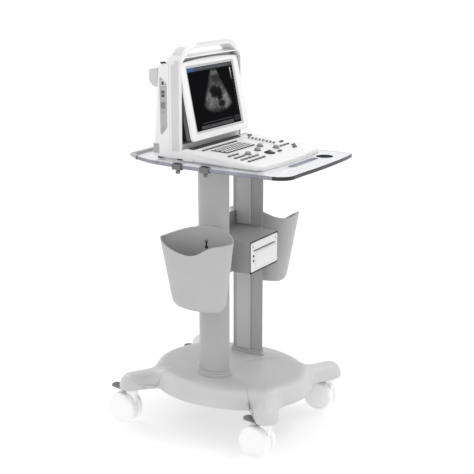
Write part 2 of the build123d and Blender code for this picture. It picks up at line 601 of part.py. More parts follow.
def screen_back_cover():
    cover = screen_slab(BEZEL_HALF, BEZEL_UP, BEZEL_DOWN, BEZEL_T, SCREEN_T, 12)
    cover -= screen_slab(BEZEL_HALF - 8, BEZEL_UP - 22, BEZEL_DOWN - 8, BEZEL_T - 1, SCREEN_T - 3, 8)
    pin = screen_pin_point()
    cover -= rod(SCREEN_PIN_R + RUN_GAP, (-150, *pin), (150, *pin))
    for side in (-1, 1):
        notch = Pos(side * LUG_X, SCREEN_PIN_UP, -SCREEN_PIN_BACK) * Box(LUG_T + 4, 32, 20)
        cover -= SCREEN.location * notch
    corner = Pos(0, SCREEN_PIN_UP + 6, -SCREEN_PIN_BACK - 4.5) * Box(400, 12, 9)
    return cover - (SCREEN.location * corner - rod(BACK_ROUND, (-200, *pin), (200, *pin)))


def screen_hinge_shaft():
    pin = screen_pin_point()
    return rod(SCREEN_PIN_R, (-132, *pin), (132, *pin))


# ---------------------------------------------------------------- control panel

def panel_outline(inset):
    """Plan of the control panel: a little wider in front, with a bowed front edge."""
    rear, front = PANEL_REAR_HALF - inset, PANEL_FRONT_HALF - inset
    back_y, front_y = HINGE_Y + 18.0, PANEL_FRONT_Y + inset
    corner = 26.0
    edges = [
        Line((-rear, back_y), (rear, back_y)),
        Line((rear, back_y), (front, front_y + corner)),
        ThreePointArc((front, front_y + corner), (front - corner * 0.3, front_y + corner * 0.3),
                      (front - corner, front_y)),
        ThreePointArc((front - corner, front_y), (0, front_y - PANEL_BOW), (-front + corner, front_y)),
        ThreePointArc((-front + corner, front_y), (-front + corner * 0.3, front_y + corner * 0.3),
                      (-front, front_y + corner)),
        Line((-front, front_y + corner), (-rear, back_y)),
    ]
    return make_face(edges)


def panel_cut(depth):
    """Everything above a plane this far below the panel's sloping face."""
    return extrude(PANEL * Pos(0, -150, -depth) * Rectangle(500, 500), 80)


def panel_envelope():
    """The whole panel, with a rear end that is round about the hinge and clears the hinge's bosses."""
    slab = extrude(Pos(0, 0, PANEL_LOW) * panel_outline(0), 60) - panel_cut(0)
    behind = box((-200, 200), (HINGE_Y, 120), (800, 920)) - rod(17.8, (-200, HINGE_Y, HINGE_Z),
                                                                (200, HINGE_Y, HINGE_Z))
    slab -= behind
    bay = rod(BARREL_R + 1.2, (-BOSS_X[1] - 1.2, HINGE_Y, HINGE_Z), (BOSS_X[1] + 1.2, HINGE_Y, HINGE_Z))
    bay += box((-BOSS_X[1] - 1.2, BOSS_X[1] + 1.2), (HINGE_Y, 120), (800, 920))
    return slab - bay


def bottom_cut():
    """The part of the panel that belongs to the bottom shell."""
    return extrude(Pos(0, 0, 700) * Rectangle(600, 900), 300) - panel_cut(PANEL_SPLIT)


def keyboard_top_shell():
    """The sloping face with a well for each key, knob, slider and the trackball."""
    low, high = -PANEL_SPLIT - 1, 2
    wells = [panel_pin(x, y, 3.3, low, high) for x, y in KNOBS.values()]
    wells.append(panel_pin(*BALL_XY, BALL_R + 0.3, low, high))
    wells += [panel_block(x, y, wide + 0.8, deep + 0.8, low, high) for x, y, wide, deep in all_keys()]
    wells += [panel_block(SLIDER_X, y, 34, 2.6, low, high) for y in slider_rows()]
    return (panel_envelope() & panel_cut(PANEL_SPLIT)) - wells


def keyboard_bottom_shell():
    shell = panel_envelope() & bottom_cut()
    inner = extrude(Pos(0, 0, PANEL_LOW + 2.0) * panel_outline(4.0), 60)
    inner -= box((-200, 200), (HINGE_Y - 24, 200), (800, 920))
    return shell - inner


def keyboard_hinge_barrel():
    """The round bar that joins the panel to the hinge pin."""
    barrel = rod(BARREL_R, (-BARREL_HALF, HINGE_Y, HINGE_Z), (BARREL_HALF, HINGE_Y, HINGE_Z))
    web = box((-BARREL_HALF, BARREL_HALF), (HINGE_Y - 24, HINGE_Y), (HINGE_Z - 9, HINGE_Z + 9))
    barrel += web - panel_envelope()
    return barrel - rod(PIN_R + RUN_GAP, (-130, HINGE_Y, HINGE_Z), (130, HINGE_Y, HINGE_Z))


def keyboard_hinge_pin():
    return rod(PIN_R, (-BOSS_X[1] + 2, HINGE_Y, HINGE_Z), (BOSS_X[1] - 2, HINGE_Y, HINGE_Z))


def to_panel(x, y):
    """Plan place to the panel's own coordinates."""
    return (x, (y - PANEL_REAR_Y) / math.cos(math.radians(SLOPE)))


def panel_block(x, y, wide, deep, low, high):
    px, py = to_panel(x, y)
    return extrude(PANEL * Pos(px, py, low) * RectangleRounded(wide, deep, min(wide, deep) * 0.3), high - low)


def panel_pin(x, y, radius, low, high):
    px, py = to_panel(x, y)
    return extrude(PANEL * Pos(px, py, low) * Circle(radius), high - low)


FUNCTION_KEYS = [(-140 + 17.5 * i, 7.0, 13.0, 5.0) for i in range(11)]
LETTER_KEYS = [(-118 + 13.4 * i + 3.2 * row, -12 - 13.0 * row, 10.6, 10.0) for row in range(4) for i in range(12)]
CONTROL_KEYS = ([(-142 + 20.0 * i, -82.0, 14.0, 6.5) for i in range(3)]
                + [(-146 + 20.0 * i, -105.0, 14.0, 6.5) for i in range(3)]
                + [(-148 + 20.0 * i, -128.0, 14.0, 6.5) for i in range(5)]
                + [(-148 + 20.0 * i, -151.0, 14.0, 6.5) for i in range(5)]
                + [(96 + 20.0 * i, -116.0, 13.0, 6.5) for i in range(3)])
OVAL_KEYS = [(144, 22.0, 20.0, 7.0), (147, -88.0, 20.0, 7.0), (118, -150.0, 20.0, 8.0),
             (34, -146.0, 18.0, 8.0), (140, -134.0, 18.0, 7.0)]


def all_keys():
    return FUNCTION_KEYS + LETTER_KEYS + CONTROL_KEYS + OVAL_KEYS


def slider_rows():
    return [5.0 - 12.5 * i for i in range(8)]


def key_group(keys):
    caps = [panel_block(x, y, wide, deep, -KEY_SUNK, KEY_UP) for x, y, wide, deep in keys]
    return Compound(children=caps)


def gain_sliders():
    tabs = []
    for y in slider_rows():
        tabs.append(panel_block(SLIDER_X, y, 7, 6, 0.4, 5.0) + panel_block(SLIDER_X, y, 5, 1.8, -6, 1))
    return Compound(children=tabs)


def knob(x, y):
    return panel_pin(x, y, KNOB_R, 0.4, KNOB_UP) + panel_pin(x, y, 3.0, -8, 1)


def trackball():
    px, py = to_panel(*BALL_XY)
    return PANEL.location * Pos(px, py, -BALL_SUNK) * Sphere(BALL_R)


def make_nodes():
    nodes = {
        "base_cover": base_cover(), "base_frame": base_frame(), "ballast_plate": ballast_plate(),
        "column_left": column(-1), "column_right": column(1),
        "column_collars": column_collars(), "column_cover_strips": column_cover_strips(),
        "tray_support_plate": tray_support_plate(), "tray": tray(), "tray_rear_rail": tray_rear_rail(),
        "tray_clips": tray_clips(), "basket_left": basket(-1), "basket_right": basket(1),
        "fasteners": fasteners(),
        "printer_housing": printer_housing(), "printer_chassis": printer_chassis(),
        "printer_front": printer_front(), "printer_door": printer_door(),
        "printer_paper_roll": printer_paper_roll(), "printer_power_button": printer_button(POWER_Z),
        "printer_feed_button": printer_button(FEED_Z),
        "main_housing": main_housing(), "front_frame": front_frame(), "side_port_panel": side_port_panel(),
        "side_ports": side_ports(), "probe_connector": probe_connector(), "probe_latch": probe_latch(),
        "rubber_feet": rubber_feet(), "main_board": main_board(), "battery_pack": battery_pack(),
        "screen_bezel": screen_bezel(), "screen_back_cover": screen_back_cover(), "lcd_panel": lcd_panel(),
        "screen_hinge_shaft": screen_hinge_shaft(),
        "keyboard_top_shell": keyboard_top_shell(), "keyboard_bottom_shell": keyboard_bottom_shell(),
        "keyboard_hinge_barrel": keyboard_hinge_barrel(), "keyboard_hinge_pin": keyboard_hinge_pin(),
        "function_keys": key_group(FUNCTION_KEYS), "letter_keys": key_group(LETTER_KEYS),
        "control_keys": key_group(CONTROL_KEYS), "oval_keys": key_group(OVAL_KEYS),
        "trackball": trackball(), "gain_sliders": gain_sliders(),
    }
    for name, place in KNOBS.items():
        nodes[name] = knob(*place)
    for name, (sx, sy) in CORNERS.items():
        x, y = sx * CASTER_X, sy * CASTER_Y
        nodes[f"caster_{name}_fork"] = caster_fork(x, y)
        nodes[f"caster_{name}_wheels"] = caster_wheels(x, y)
        nodes[f"caster_{name}_pedal"] = caster_pedal(x, y)
    return nodes


os.makedirs("parts", exist_ok=True)
for node_name, node_shape in make_nodes().items():
    export_step(node_shape, f"parts/{node_name}.step")
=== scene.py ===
import bpy
import bmesh
import json
import math
from mathutils import Matrix, Vector


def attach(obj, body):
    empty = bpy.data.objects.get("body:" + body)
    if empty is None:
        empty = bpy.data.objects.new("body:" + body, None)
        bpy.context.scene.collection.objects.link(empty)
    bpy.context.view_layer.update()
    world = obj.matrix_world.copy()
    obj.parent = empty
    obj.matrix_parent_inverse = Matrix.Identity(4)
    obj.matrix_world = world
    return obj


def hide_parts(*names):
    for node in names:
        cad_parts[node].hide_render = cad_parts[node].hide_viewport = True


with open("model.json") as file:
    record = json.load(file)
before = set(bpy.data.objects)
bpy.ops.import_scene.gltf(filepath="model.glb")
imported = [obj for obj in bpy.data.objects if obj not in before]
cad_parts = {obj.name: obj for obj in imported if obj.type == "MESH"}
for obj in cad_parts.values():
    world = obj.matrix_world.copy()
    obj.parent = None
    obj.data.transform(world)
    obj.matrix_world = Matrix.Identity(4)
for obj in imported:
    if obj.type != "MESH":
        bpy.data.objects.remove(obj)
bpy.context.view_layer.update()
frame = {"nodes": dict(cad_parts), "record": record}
MM = 0.001                      # sizes and places below are in millimetres
WHITE_SLOT = "white_plastic"
SIDES = (-1, 1)                 # left, right


# ------------------------------------------------------------ materials

def grey(level, tint=(1.0, 1.0, 1.0)):
    """Linear colour of an sRGB grey from 0 to 255."""
    s = level / 255
    linear = s / 12.92 if s <= 0.04045 else ((s + 0.055) / 1.055) ** 2.4
    return (linear * tint[0], linear * tint[1], linear * tint[2], 1.0)


def scaled(colour, factor):
    return tuple(min(c * factor, 1.0) for c in colour[:3]) + (1.0,)


class Nodes:
    """Short calls that add shader nodes to one material."""

    def __init__(self, material):
        material.use_nodes = True
        self.tree = material.node_tree
        self.shader = self.tree.nodes["Principled BSDF"]
        self.coord = self.tree.nodes.new("ShaderNodeTexCoord").outputs["Object"]

    def link(self, source, target):
        if hasattr(source, "is_output"):
            self.tree.links.new(source, target)
        else:
            target.default_value = source

    def noise(self, scale, detail=3.0, rough=0.5, vector=None, distortion=0.0):
        node = self.tree.nodes.new("ShaderNodeTexNoise")
        node.inputs["Scale"].default_value = scale
        node.inputs["Detail"].default_value = detail
        node.inputs["Roughness"].default_value = rough
        node.inputs["Distortion"].default_value = distortion
        self.tree.links.new(vector or self.coord, node.inputs["Vector"])
        return node.outputs["Fac"]

    def math(self, kind, a, b=0.0):
        node = self.tree.nodes.new("ShaderNodeMath")
        node.operation = kind
        self.link(a, node.inputs[0])
        self.link(b, node.inputs[1])
        return node.outputs[0]

    def mul(self, a, b):
        return self.math("MULTIPLY", a, b)

    def plus(self, a, b):
        return self.math("ADD", a, b)

    def minus(self, a, b):
        return self.math("SUBTRACT", a, b)

    def along(self, direction):
        """The object's own coordinate along a direction."""
        node = self.tree.nodes.new("ShaderNodeVectorMath")
        node.operation = "DOT_PRODUCT"
        self.tree.links.new(self.coord, node.inputs[0])
        node.inputs[1].default_value = direction
        return node.outputs["Value"]

    def flat_point(self, x, y):
        node = self.tree.nodes.new("ShaderNodeCombineXYZ")
        self.tree.links.new(x, node.inputs[0])
        self.tree.links.new(y, node.inputs[1])
        return node.outputs[0]

    def set(self, **values):
        """Fixed values on the shader's own sockets; an underscore stands for a space."""
        for name, value in values.items():
            self.shader.inputs[name.replace("_", " ")].default_value = value

    def ramp(self, value, low, high, out_low=0.0, out_high=1.0, smooth=False):
        node = self.tree.nodes.new("ShaderNodeMapRange")
        node.interpolation_type = "SMOOTHSTEP" if smooth else "LINEAR"
        for name, v in (("From Min", low), ("From Max", high), ("To Min", out_low), ("To Max", out_high)):
            node.inputs[name].default_value = v
        self.link(value, node.inputs["Value"])
        return node.outputs["Result"]

    def mix(self, factor, a, b):
        node = self.tree.nodes.new("ShaderNodeMix")
        node.data_type = "RGBA"
        self.link(factor, node.inputs["Factor"])
        self.link(a, node.inputs["A"])
        self.link(b, node.inputs["B"])
        return node.outputs["Result"]

    def bump(self, height, strength, distance):
        node = self.tree.nodes.new("ShaderNodeBump")
        node.inputs["Strength"].default_value = strength
        node.inputs["Distance"].default_value = distance
        self.tree.links.new(height, node.inputs["Height"])
        self.tree.links.new(node.outputs["Normal"], self.shader.inputs["Normal"])


MAT = {}                        # every surface() by name
GLOSS_SPREAD = 0.07
GRAIN_HEIGHT = 0.00012
POLISH_HEIGHT = 0.0001


def surface(name, colour, rough, vary=0.05, grain=900.0, bump=0.25, metallic=0.0, coat=0.0, streak=None,
            painted_shade_ramp=None):
    """A moulded, painted or metal surface: uneven colour, fine grain, patchy gloss and rubbed edges.

    colour is an sRGB grey from 0 to 255 or a linear colour. streak stretches the grain. painted_shade_ramp paints
    shade as a ramp: a direction, two distances along it and the colour that is reached at the second.
    """
    colour = colour if isinstance(colour, tuple) else grey(colour)
    material = MAT[name] = bpy.data.materials.new(name)
    n = Nodes(material)
    where = n.coord
    if streak:
        stretch = n.tree.nodes.new("ShaderNodeMapping")
        stretch.inputs["Scale"].default_value = streak
        n.tree.links.new(n.coord, stretch.inputs["Vector"])
        where = stretch.outputs["Vector"]
    cloud = n.ramp(n.noise(7.0, 4.0, 0.55), 0.3, 0.7)
    tone = n.mix(cloud, scaled(colour, 1 - vary), scaled(colour, 1 + vary))
    # painted shade: the colour ramps to another along a direction
    if painted_shade_ramp:
        axis, low, high, other = painted_shade_ramp
        tone = n.mix(n.ramp(n.along(axis), low, high, smooth=True), tone, other)
    edge = n.tree.nodes.new("ShaderNodeNewGeometry").outputs["Pointiness"]
    rubbed = n.ramp(edge, 0.53, 0.62, 0.0, 0.25, smooth=True)
    tone = n.mix(rubbed, tone, scaled(colour, 1.12))
    n.link(tone, n.shader.inputs["Base Color"])
    smoothest = max(rough - GLOSS_SPREAD, 0.02)
    gloss = n.ramp(n.noise(38.0, 3.0, 0.6, where), 0.3, 0.7, smoothest, rough + GLOSS_SPREAD)
    n.link(gloss, n.shader.inputs["Roughness"])
    n.set(Metallic=metallic, Coat_Weight=coat, Specular_IOR_Level=0.5)
    n.bump(n.noise(grain, 2.0, 0.6, where), bump, GRAIN_HEIGHT)
    return material


def clear_acrylic():
    """The plate of the tray, slightly hazy."""
    material = MAT["clear_acrylic"] = bpy.data.materials.new("clear_acrylic")
    n = Nodes(material)
    haze = n.ramp(n.noise(5.0, 4.0), 0.35, 0.7)
    n.link(n.mix(haze, (0.97, 0.972, 0.995, 1), (0.94, 0.945, 0.98, 1)), n.shader.inputs["Base Color"])
    n.link(n.ramp(n.noise(60.0, 4.0, 0.7), 0.35, 0.8, 0.015, 0.09), n.shader.inputs["Roughness"])
    n.set(Transmission_Weight=0.62, IOR=1.49, Specular_IOR_Level=0.5)
    n.bump(n.noise(420.0, 2.0), 0.03, POLISH_HEIGHT)


def acrylic_edge(name, level, tint):
    """The sawn and polished edge of the plate, with the light that collects there painted into its colour; at a dark
    level it is painted shade.
    """
    material = bpy.data.materials.new(name)
    n = Nodes(material)
    band = n.ramp(n.noise(16.0, 3.0), 0.35, 0.65)
    colour = grey(level, tint)
    n.link(n.mix(band, scaled(colour, 0.82), scaled(colour, 1.25)), n.shader.inputs["Base Color"])
    n.link(n.ramp(n.noise(90.0, 2.0), 0.3, 0.7, 0.12, 0.28), n.shader.inputs["Roughness"])
    n.set(Transmission_Weight=0.15, Coat_Weight=0.15)
    n.bump(n.noise(300.0, 2.0), 0.05, POLISH_HEIGHT)
    return material


UP = (0, 0, 1)
# the base's top, above 164 to 180 mm, ramps to a darker grey: painted shade
surface("base_plastic", 203, 0.42, 0.03, 700, painted_shade_ramp=(UP, 0.164, 0.180, grey(180)))
surface("frame_steel", 120, 0.5, 0.08, 500, 0.4, metallic=0.3)
surface("column_paint", 170, 0.40, 0.03, 600, 0.3)
surface("strip_plastic", 196, 0.42, 0.03, 600)
clear_acrylic()
surface("rail_metal", grey(165, (0.98, 0.98, 1.04)), 0.3, 0.05, 600, 0.15, metallic=0.25)
surface("clip_chrome", 120, 0.2, 0.05, 500, 0.1, metallic=1.0)
surface("basket_plastic", 184, 0.48, 0.03, 800, 0.3)
surface("screw_steel", 170, 0.3, 0.06, 700, 0.2, metallic=1.0, streak=(1, 8, 8))
surface("housing_paint", 160, 0.45, 0.03, 650, 0.4)
surface("dark_plastic", 52, 0.45, 0.12, 800)
surface("printer_plastic", 226, 0.36, 0.01, 800, 0.2)
surface("paper_white", 238, 0.8, 0.03, 1400, 0.4, streak=(1, 1, 6))
surface("white_plastic", 236, 0.34, 0.01, 900, 0.12)
surface("grey_plastic", 205, 0.42, 0.03, 800)
surface("port_plastic", 70, 0.4, 0.12, 800)
surface("rubber_black", 40, 0.75, 0.15, 900, 0.6)
surface("board_green", (0.02, 0.12, 0.05, 1), 0.4, 0.15, 300, 0.4)
surface("lcd_glass", 12, 0.12, 0.05, 900, 0.03)
surface("hinge_grey", 84, 0.42, 0.06, 800)
surface("key_grey", 150, 0.42, 0.04, 900, 0.3)
surface("ball_dark", 48, 0.12, 0.1, 900, 0.03, coat=0.5)
surface("knob_grey", 150, 0.4, 0.06, 900, 0.3)
surface("caster_white", 252, 0.34, 0.006, 800, 0.1)
surface("pedal_grey", 116, 0.5, 0.05, 700, 0.4)
EDGE_LILAC = acrylic_edge("acrylic_edge_lilac", 150, (0.92, 0.92, 1.14))
# edge in painted shade
EDGE_PAINTED_SHADE = acrylic_edge("acrylic_edge_painted_shade", 20, (0.95, 0.95, 1.12))
# painted shade on the step down to the display
BEZEL_BAND_PAINTED_SHADE = surface("bezel_band", 190, 0.35, 0.02, 900)
# dark sheets in gaps and wells: painted shade
GAP_PAINTED_SHADE = surface("gap_painted_shade", 28, 0.7, 0.1, 900)
# dark plates in holes and slots: painted shade
HOLE_PAINTED_SHADE = surface("hole_painted_shade", 18, 0.8, 0.1, 900)
VENT_GREY = surface("vent_grey", 190, 0.5, 0.04, 900)
# painted shade for the screen's back cover
BACK_PAINTED_SHADE = surface("back_painted_shade", 84, 0.5, 0.05, 900)
PORT_PLATE = surface("port_plate", 176, 0.45, 0.03, 900)
# painted shade on the frame's side recess, shoulder facet and handle bevel
FRAME_RECESS_PAINTED_SHADE = surface("frame_recess_painted_shade", 211, 0.42, 0.015, 900, 0.15)
FRAME_FACET_PAINTED_SHADE = surface("frame_facet_painted_shade", 212, 0.42, 0.015, 900, 0.15)
# wall behind the screen: dark below 1108 mm, light above 1124 mm, painted shade under the bezel and handle
RECESS_WALL_PAINTED_SHADE = surface("recess_wall", 60, 0.5, 0.05, 900, painted_shade_ramp=(UP, 1.108, 1.124, grey(225)))
# painted shade for the right column's front-facing faces
COLUMN_PAINTED_SHADE = surface("column_painted_shade", 140, 0.42, 0.03, 600, 0.3)
KEY_LIGHT = surface("key_light", 228, 0.42, 0.03, 900, 0.2)
# painted shade between the keys and on their sides
KEY_BED_PAINTED_SHADE = surface("key_bed", 96, 0.5, 0.06, 900)


# ------------------------------------------------------------ shape helpers

def new_object(name, data):
    obj = bpy.data.objects.new(name, data)
    bpy.context.scene.collection.objects.link(obj)
    return obj


def mesh_of_curve(curve):
    obj = new_object("temp", curve)
    bpy.context.view_layer.update()
    graph = bpy.context.evaluated_depsgraph_get()
    mesh = bpy.data.meshes.new_from_object(obj.evaluated_get(graph))
    bpy.data.objects.remove(obj)
    return mesh


def mesh_of(verts, faces):
    mesh = bpy.data.meshes.new("mesh")
    mesh.from_pydata([tuple(c * MM for c in v) for v in verts], [], faces)
    mesh.update()
    return mesh


def paint(mesh, kind_of):
    """Gives each face the material index that kind_of(centre in mm, normal) returns."""
    mesh.polygons.foreach_set("material_index",
                              [int(kind_of(f.center / MM, f.normal)) for f in mesh.polygons])


def tidy_normals(mesh):
    bm = bmesh.new()
    bm.from_mesh(mesh)
    bmesh.ops.remove_doubles(bm, verts=bm.verts, dist=2e-6)
    bmesh.ops.recalc_face_normals(bm, faces=bm.faces)
    bm.to_mesh(mesh)
    bm.free()
    return mesh


def join(meshes):
    """One mesh out of several; material indexes are kept."""
    bm = bmesh.new()
    for mesh in meshes:
        bm.from_mesh(mesh)
    out = bpy.data.meshes.new("joined")
    bm.to_mesh(out)
    bm.free()
    return out


def add(name, mesh, body, slot, *stands_for, materials=None, angle=32.0, weighted=True):
    """Makes a piece: smooth shading up to an angle in degrees, its materials, its body and its slot."""
    obj = new_object(name, tidy_normals(mesh))
    obj.data.shade_smooth()
    for material in materials or [MAT[slot]]:
        obj.data.materials.append(material)
    obj.data.set_sharp_from_angle(angle=math.radians(angle))
    if weighted:
        mod = obj.modifiers.new("normals", "WEIGHTED_NORMAL")
        mod.keep_sharp = True
        mod.weight = 80
    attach(obj, body)
    if stands_for:
        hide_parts(*stands_for)
    return obj


def rounded(points, radius, steps=5):
    """Rounds the corners of a closed 2-D polygon; radius is one number or one per corner."""
    out = []
    count = len(points)
    for i, p in enumerate(points):
        r = radius[i] if isinstance(radius, (list, tuple)) else radius
        p = Vector(p)
        a = Vector(points[i - 1]) - p
        b = Vector(points[(i + 1) % count]) - p
        half = a.angle(b) / 2
        if r <= 0 or half > math.radians(89):
            out.append(tuple(p))
            continue
        reach = min(r / math.tan(half), a.length * 0.49, b.length * 0.49)
        r = reach * math.tan(half)
        centre = p + (a.normalized() + b.normalized()).normalized() * (r / math.sin(half))
        start = p + a.normalized() * reach - centre
        turn = start.angle_signed(p + b.normalized() * reach - centre)
        for k in range(steps + 1):
            t = -turn * k / steps
            c, s = math.cos(t), math.sin(t)
            out.append((centre.x + start.x * c - start.y * s, centre.y + start.x * s + start.y * c))
    return out


def rectangle(x0, x1, y0, y1, radius, steps=4):
    return rounded([(x0, y0), (x1, y0), (x1, y1), (x0, y1)], radius, steps)


def turns(steps):
    """Evenly spaced angles round a full circle."""
    return [2 * math.pi * i / steps for i in range(steps)]


def ring(x, y, radius, steps):
    return [(x + radius * math.cos(t), y + radius * math.sin(t)) for t in turns(steps)]


def half_circle(x, y, radius, start, steps):
    return [(x + radius * math.cos(t), y + radius * math.sin(t))
            for t in (start + math.pi * i / steps for i in range(steps + 1))]


def x_rings(profile, y, z, steps=48, side=1):
    """Closed rings about an axis along X, from (radius, x) pairs."""
    return [[(side * x, y + r * math.cos(t), z + r * math.sin(t)) for t in turns(steps)] for r, x in profile]


def axes(origin, x_dir, y_dir):
    """A placing matrix in metres from an origin in mm and the directions of local X and Y."""
    x, y = Vector(x_dir).normalized(), Vector(y_dir).normalized()
    z = x.cross(y)
    m = Matrix((x, y, z)).transposed().to_4x4()
    m.translation = Vector(origin) * MM
    return m


FLOOR_PLAN = axes((0, 0, 0), (1, 0, 0), (0, 1, 0))          # local (x, y), thickness along Z
FRONT_VIEW = axes((0, 0, 0), (1, 0, 0), (0, 0, 1))          # local (x, z), thickness along -Y


def side_plane(x):
    """Local (y, z), thickness along X, at a distance along X."""
    return axes((x, 0, 0), (0, 1, 0), (0, 0, 1))


SIDE_VIEW = side_plane(0)


def plate(outlines, low, high, bevel=0.0, place=FLOOR_PLAN, steps=3):
    """A flat piece with rounded edges from closed outlines; outlines inside others are holes."""
    curve = bpy.data.curves.new("outline", "CURVE")
    curve.dimensions = "2D"
    curve.fill_mode = "BOTH"
    for line in outlines:
        spline = curve.splines.new("POLY")
        spline.points.add(len(line) - 1)
        for point, (x, y) in zip(spline.points, line):
            point.co = (x * MM, y * MM, 0, 1)
        spline.use_cyclic_u = True
    curve.extrude = ((high - low) / 2 - bevel) * MM
    if bevel:
        curve.bevel_depth = bevel * MM
        curve.bevel_resolution = steps
        curve.offset = -bevel * MM
    mesh = mesh_of_curve(curve)
    mesh.transform(place @ Matrix.Translation((0, 0, (low + high) / 2 * MM)))
    return tidy_normals(mesh)


def loft(rings, wrap=False, foot=True):
    """Quads between closed rings of 3-D points; wrap joins the last ring to the first, foot closes the first."""
    count = len(rings[0])
    verts = [v for r in rings for v in r]
    faces = []
    spans = len(rings) if wrap else len(rings) - 1
    for k in range(spans):
        a, b = k * count, ((k + 1) % len(rings)) * count
        for i in range(count):
            j = (i + 1) % count
            faces.append((a + i, a + j, b + j, b + i))
    if foot and not wrap:
        faces.append(tuple(range(count - 1, -1, -1)))
    if not wrap:
        faces.append(tuple(range((len(rings) - 1) * count, len(rings) * count)))
    return mesh_of(verts, faces)


def lathe(profile, centre, axis, steps=48):
    """Turns (radius, height) pairs about an axis through centre; ends at radius 0 close the piece."""
    z = Vector(axis).normalized()
    x = z.orthogonal().normalized()
    y = z.cross(x)
    c = Vector(centre)
    rings = []
    for r, h in profile:
        r = max(r, 0.01)
        rings.append([tuple(c + z * h + (x * math.cos(t) + y * math.sin(t)) * r) for t in turns(steps)])
    return loft(rings)


def rod(radius, low, high, centre, axis, steps):
    return lathe([(0, low), (radius, low), (radius, high), (0, high)], centre, axis, steps)


def smoothstep(value, low, high):
    t = min(max((value - low) / (high - low), 0.0), 1.0)
    return t * t * (3 - 2 * t)


def between(table, value):
    """Straight-line lookup in a list of (key, result) pairs."""
    if value <= table[0][0]:
        return table[0][1]
    for (k0, v0), (k1, v1) in zip(table, table[1:]):
        if value <= k1:
            return v0 + (v1 - v0) * (value - k0) / (k1 - k0)
    return table[-1][1]


# ------------------------------------------------------------ base and casters

HUB_A, HUB_B, LEG_R = 214, 260, 38          # half axes of the hub, radius of a leg
LEG_ROOT, LEG_TIP = (98, 180), (202, 240)   # ends of a leg's middle line
LEG_BLEND = 26.0
EDGE_POINTS = 340
CASTERS = {"fl": (-1, -1), "fr": (1, -1), "rl": (-1, 1), "rr": (1, 1)}
TRAIL, WHEEL_R = 28, 50                     # from swivel to axle, and the wheel
AXLE_Z, PEDAL_Z, PEDAL_Y = WHEEL_R, 109.5, 13


def base_inset(x, y):
    """How far a plan point lies inside the base, with the legs blended into the hub; and into the hub alone."""
    hub = (1 - math.hypot(x / HUB_A, y / HUB_B)) * 230
    leg = -999.0
    for sx, sy in CASTERS.values():
        ax, ay, bx, by = sx * LEG_ROOT[0], sy * LEG_ROOT[1], sx * LEG_TIP[0], sy * LEG_TIP[1]
        t = ((x - ax) * (bx - ax) + (y - ay) * (by - ay)) / ((bx - ax) ** 2 + (by - ay) ** 2)
        t = min(max(t, 0), 1)
        leg = max(leg, LEG_R - math.hypot(x - ax - t * (bx - ax), y - ay - t * (by - ay)))
    h = max(LEG_BLEND - abs(hub - leg), 0) / LEG_BLEND
    return max(hub, leg) + h * h * LEG_BLEND / 4, hub


HUB_RISE = [(0, 129), (1, 141), (2.5, 152), (5, 161), (8.5, 167), (12.5, 170.5), (17, 172.5), (24, 174.5),
            (40, 178), (70, 182), (110, 184.6), (150, 185.6), (240, 186)]
LEG_RISE = [(0, 129), (2, 138), (5, 146), (10, 153.5), (15, 158.5), (20, 161.5), (23, 162.6), (30, 164),
            (45, 166)]


def base_height(x, y):
    inset, hub = base_inset(x, y)
    share = smoothstep(hub, -12, 34)
    return between(LEG_RISE, inset) * (1 - share) + between(HUB_RISE, inset) * share


def base_edge():
    """Points along the base's plan outline, evenly spaced."""
    dense = []
    for t in turns(2400):
        c, s = math.cos(t), math.sin(t)
        low, high = 150.0, 420.0
        for _ in range(22):
            mid = (low + high) / 2
            if base_inset(mid * c, mid * s)[0] > 0:
                low = mid
            else:
                high = mid
        dense.append((low * c, low * s))
    total = sum(math.dist(dense[i - 1], dense[i]) for i in range(len(dense)))
    out, walked, target = [], 0.0, 0.0
    for i, p in enumerate(dense):
        q = dense[(i + 1) % len(dense)]
        step = math.dist(p, q)
        while target <= walked + step and len(out) < EDGE_POINTS:
            f = (target - walked) / step
            out.append((p[0] + (q[0] - p[0]) * f, p[1] + (q[1] - p[1]) * f))
            target += total / EDGE_POINTS
        walked += step
    return out


def base_cover():
    edge = base_edge()
    rings = [[(x * 0.993, y * 0.993, 119.0) for x, y in edge], [(x, y, 120.5) for x, y in edge]]
    insets = [0, 1, 2.2, 4, 6.5, 9.5, 13, 17, 22, 28, 35, 43, 52, 62, 73, 85, 98, 112, 128, 146, 166, 190]
    for s in insets:
        level = []
        for x, y in edge:
            r = math.hypot(x, y)
            f = max(r - s, 12 - s * 0.05) / r
            level.append((x * f, y * f, base_height(x * f, y * f)))
        rings.append(level)
    obj = add("base_cover_shell", loft(rings, foot=False), "trolley", "base_plastic", "base_cover", angle=60,
              weighted=False)
    shell = obj.modifiers.new("shell", "SOLIDIFY")
    shell.thickness = 3 * MM
    shell.offset = -1


def wheel(side, x, yw):
    """One of a caster's two wheels, from the gap beside the hood out to its hub cap."""
    profile = [(0, 9.5), (43, 9.5), (48, 10.2), (49.6, 11.6), (50, 13.5), (50, 19.5), (49.4, 22.5),
               (47.8, 25.2), (45.0, 27.2), (41.5, 28.2), (38.5, 28.5), (37.6, 28.3), (37.2, 27.7),
               (36.4, 27.6), (36.0, 28.0), (33, 28.5), (14, 28.9), (12.4, 28.8), (12.0, 28.1), (11.2, 28.1),
               (10.8, 28.7), (6, 28.9), (0, 28.95)]
    return lathe([(r, min(h, 28.5)) for r, h in profile], (x, yw, AXLE_Z), (side, 0, 0), 72)


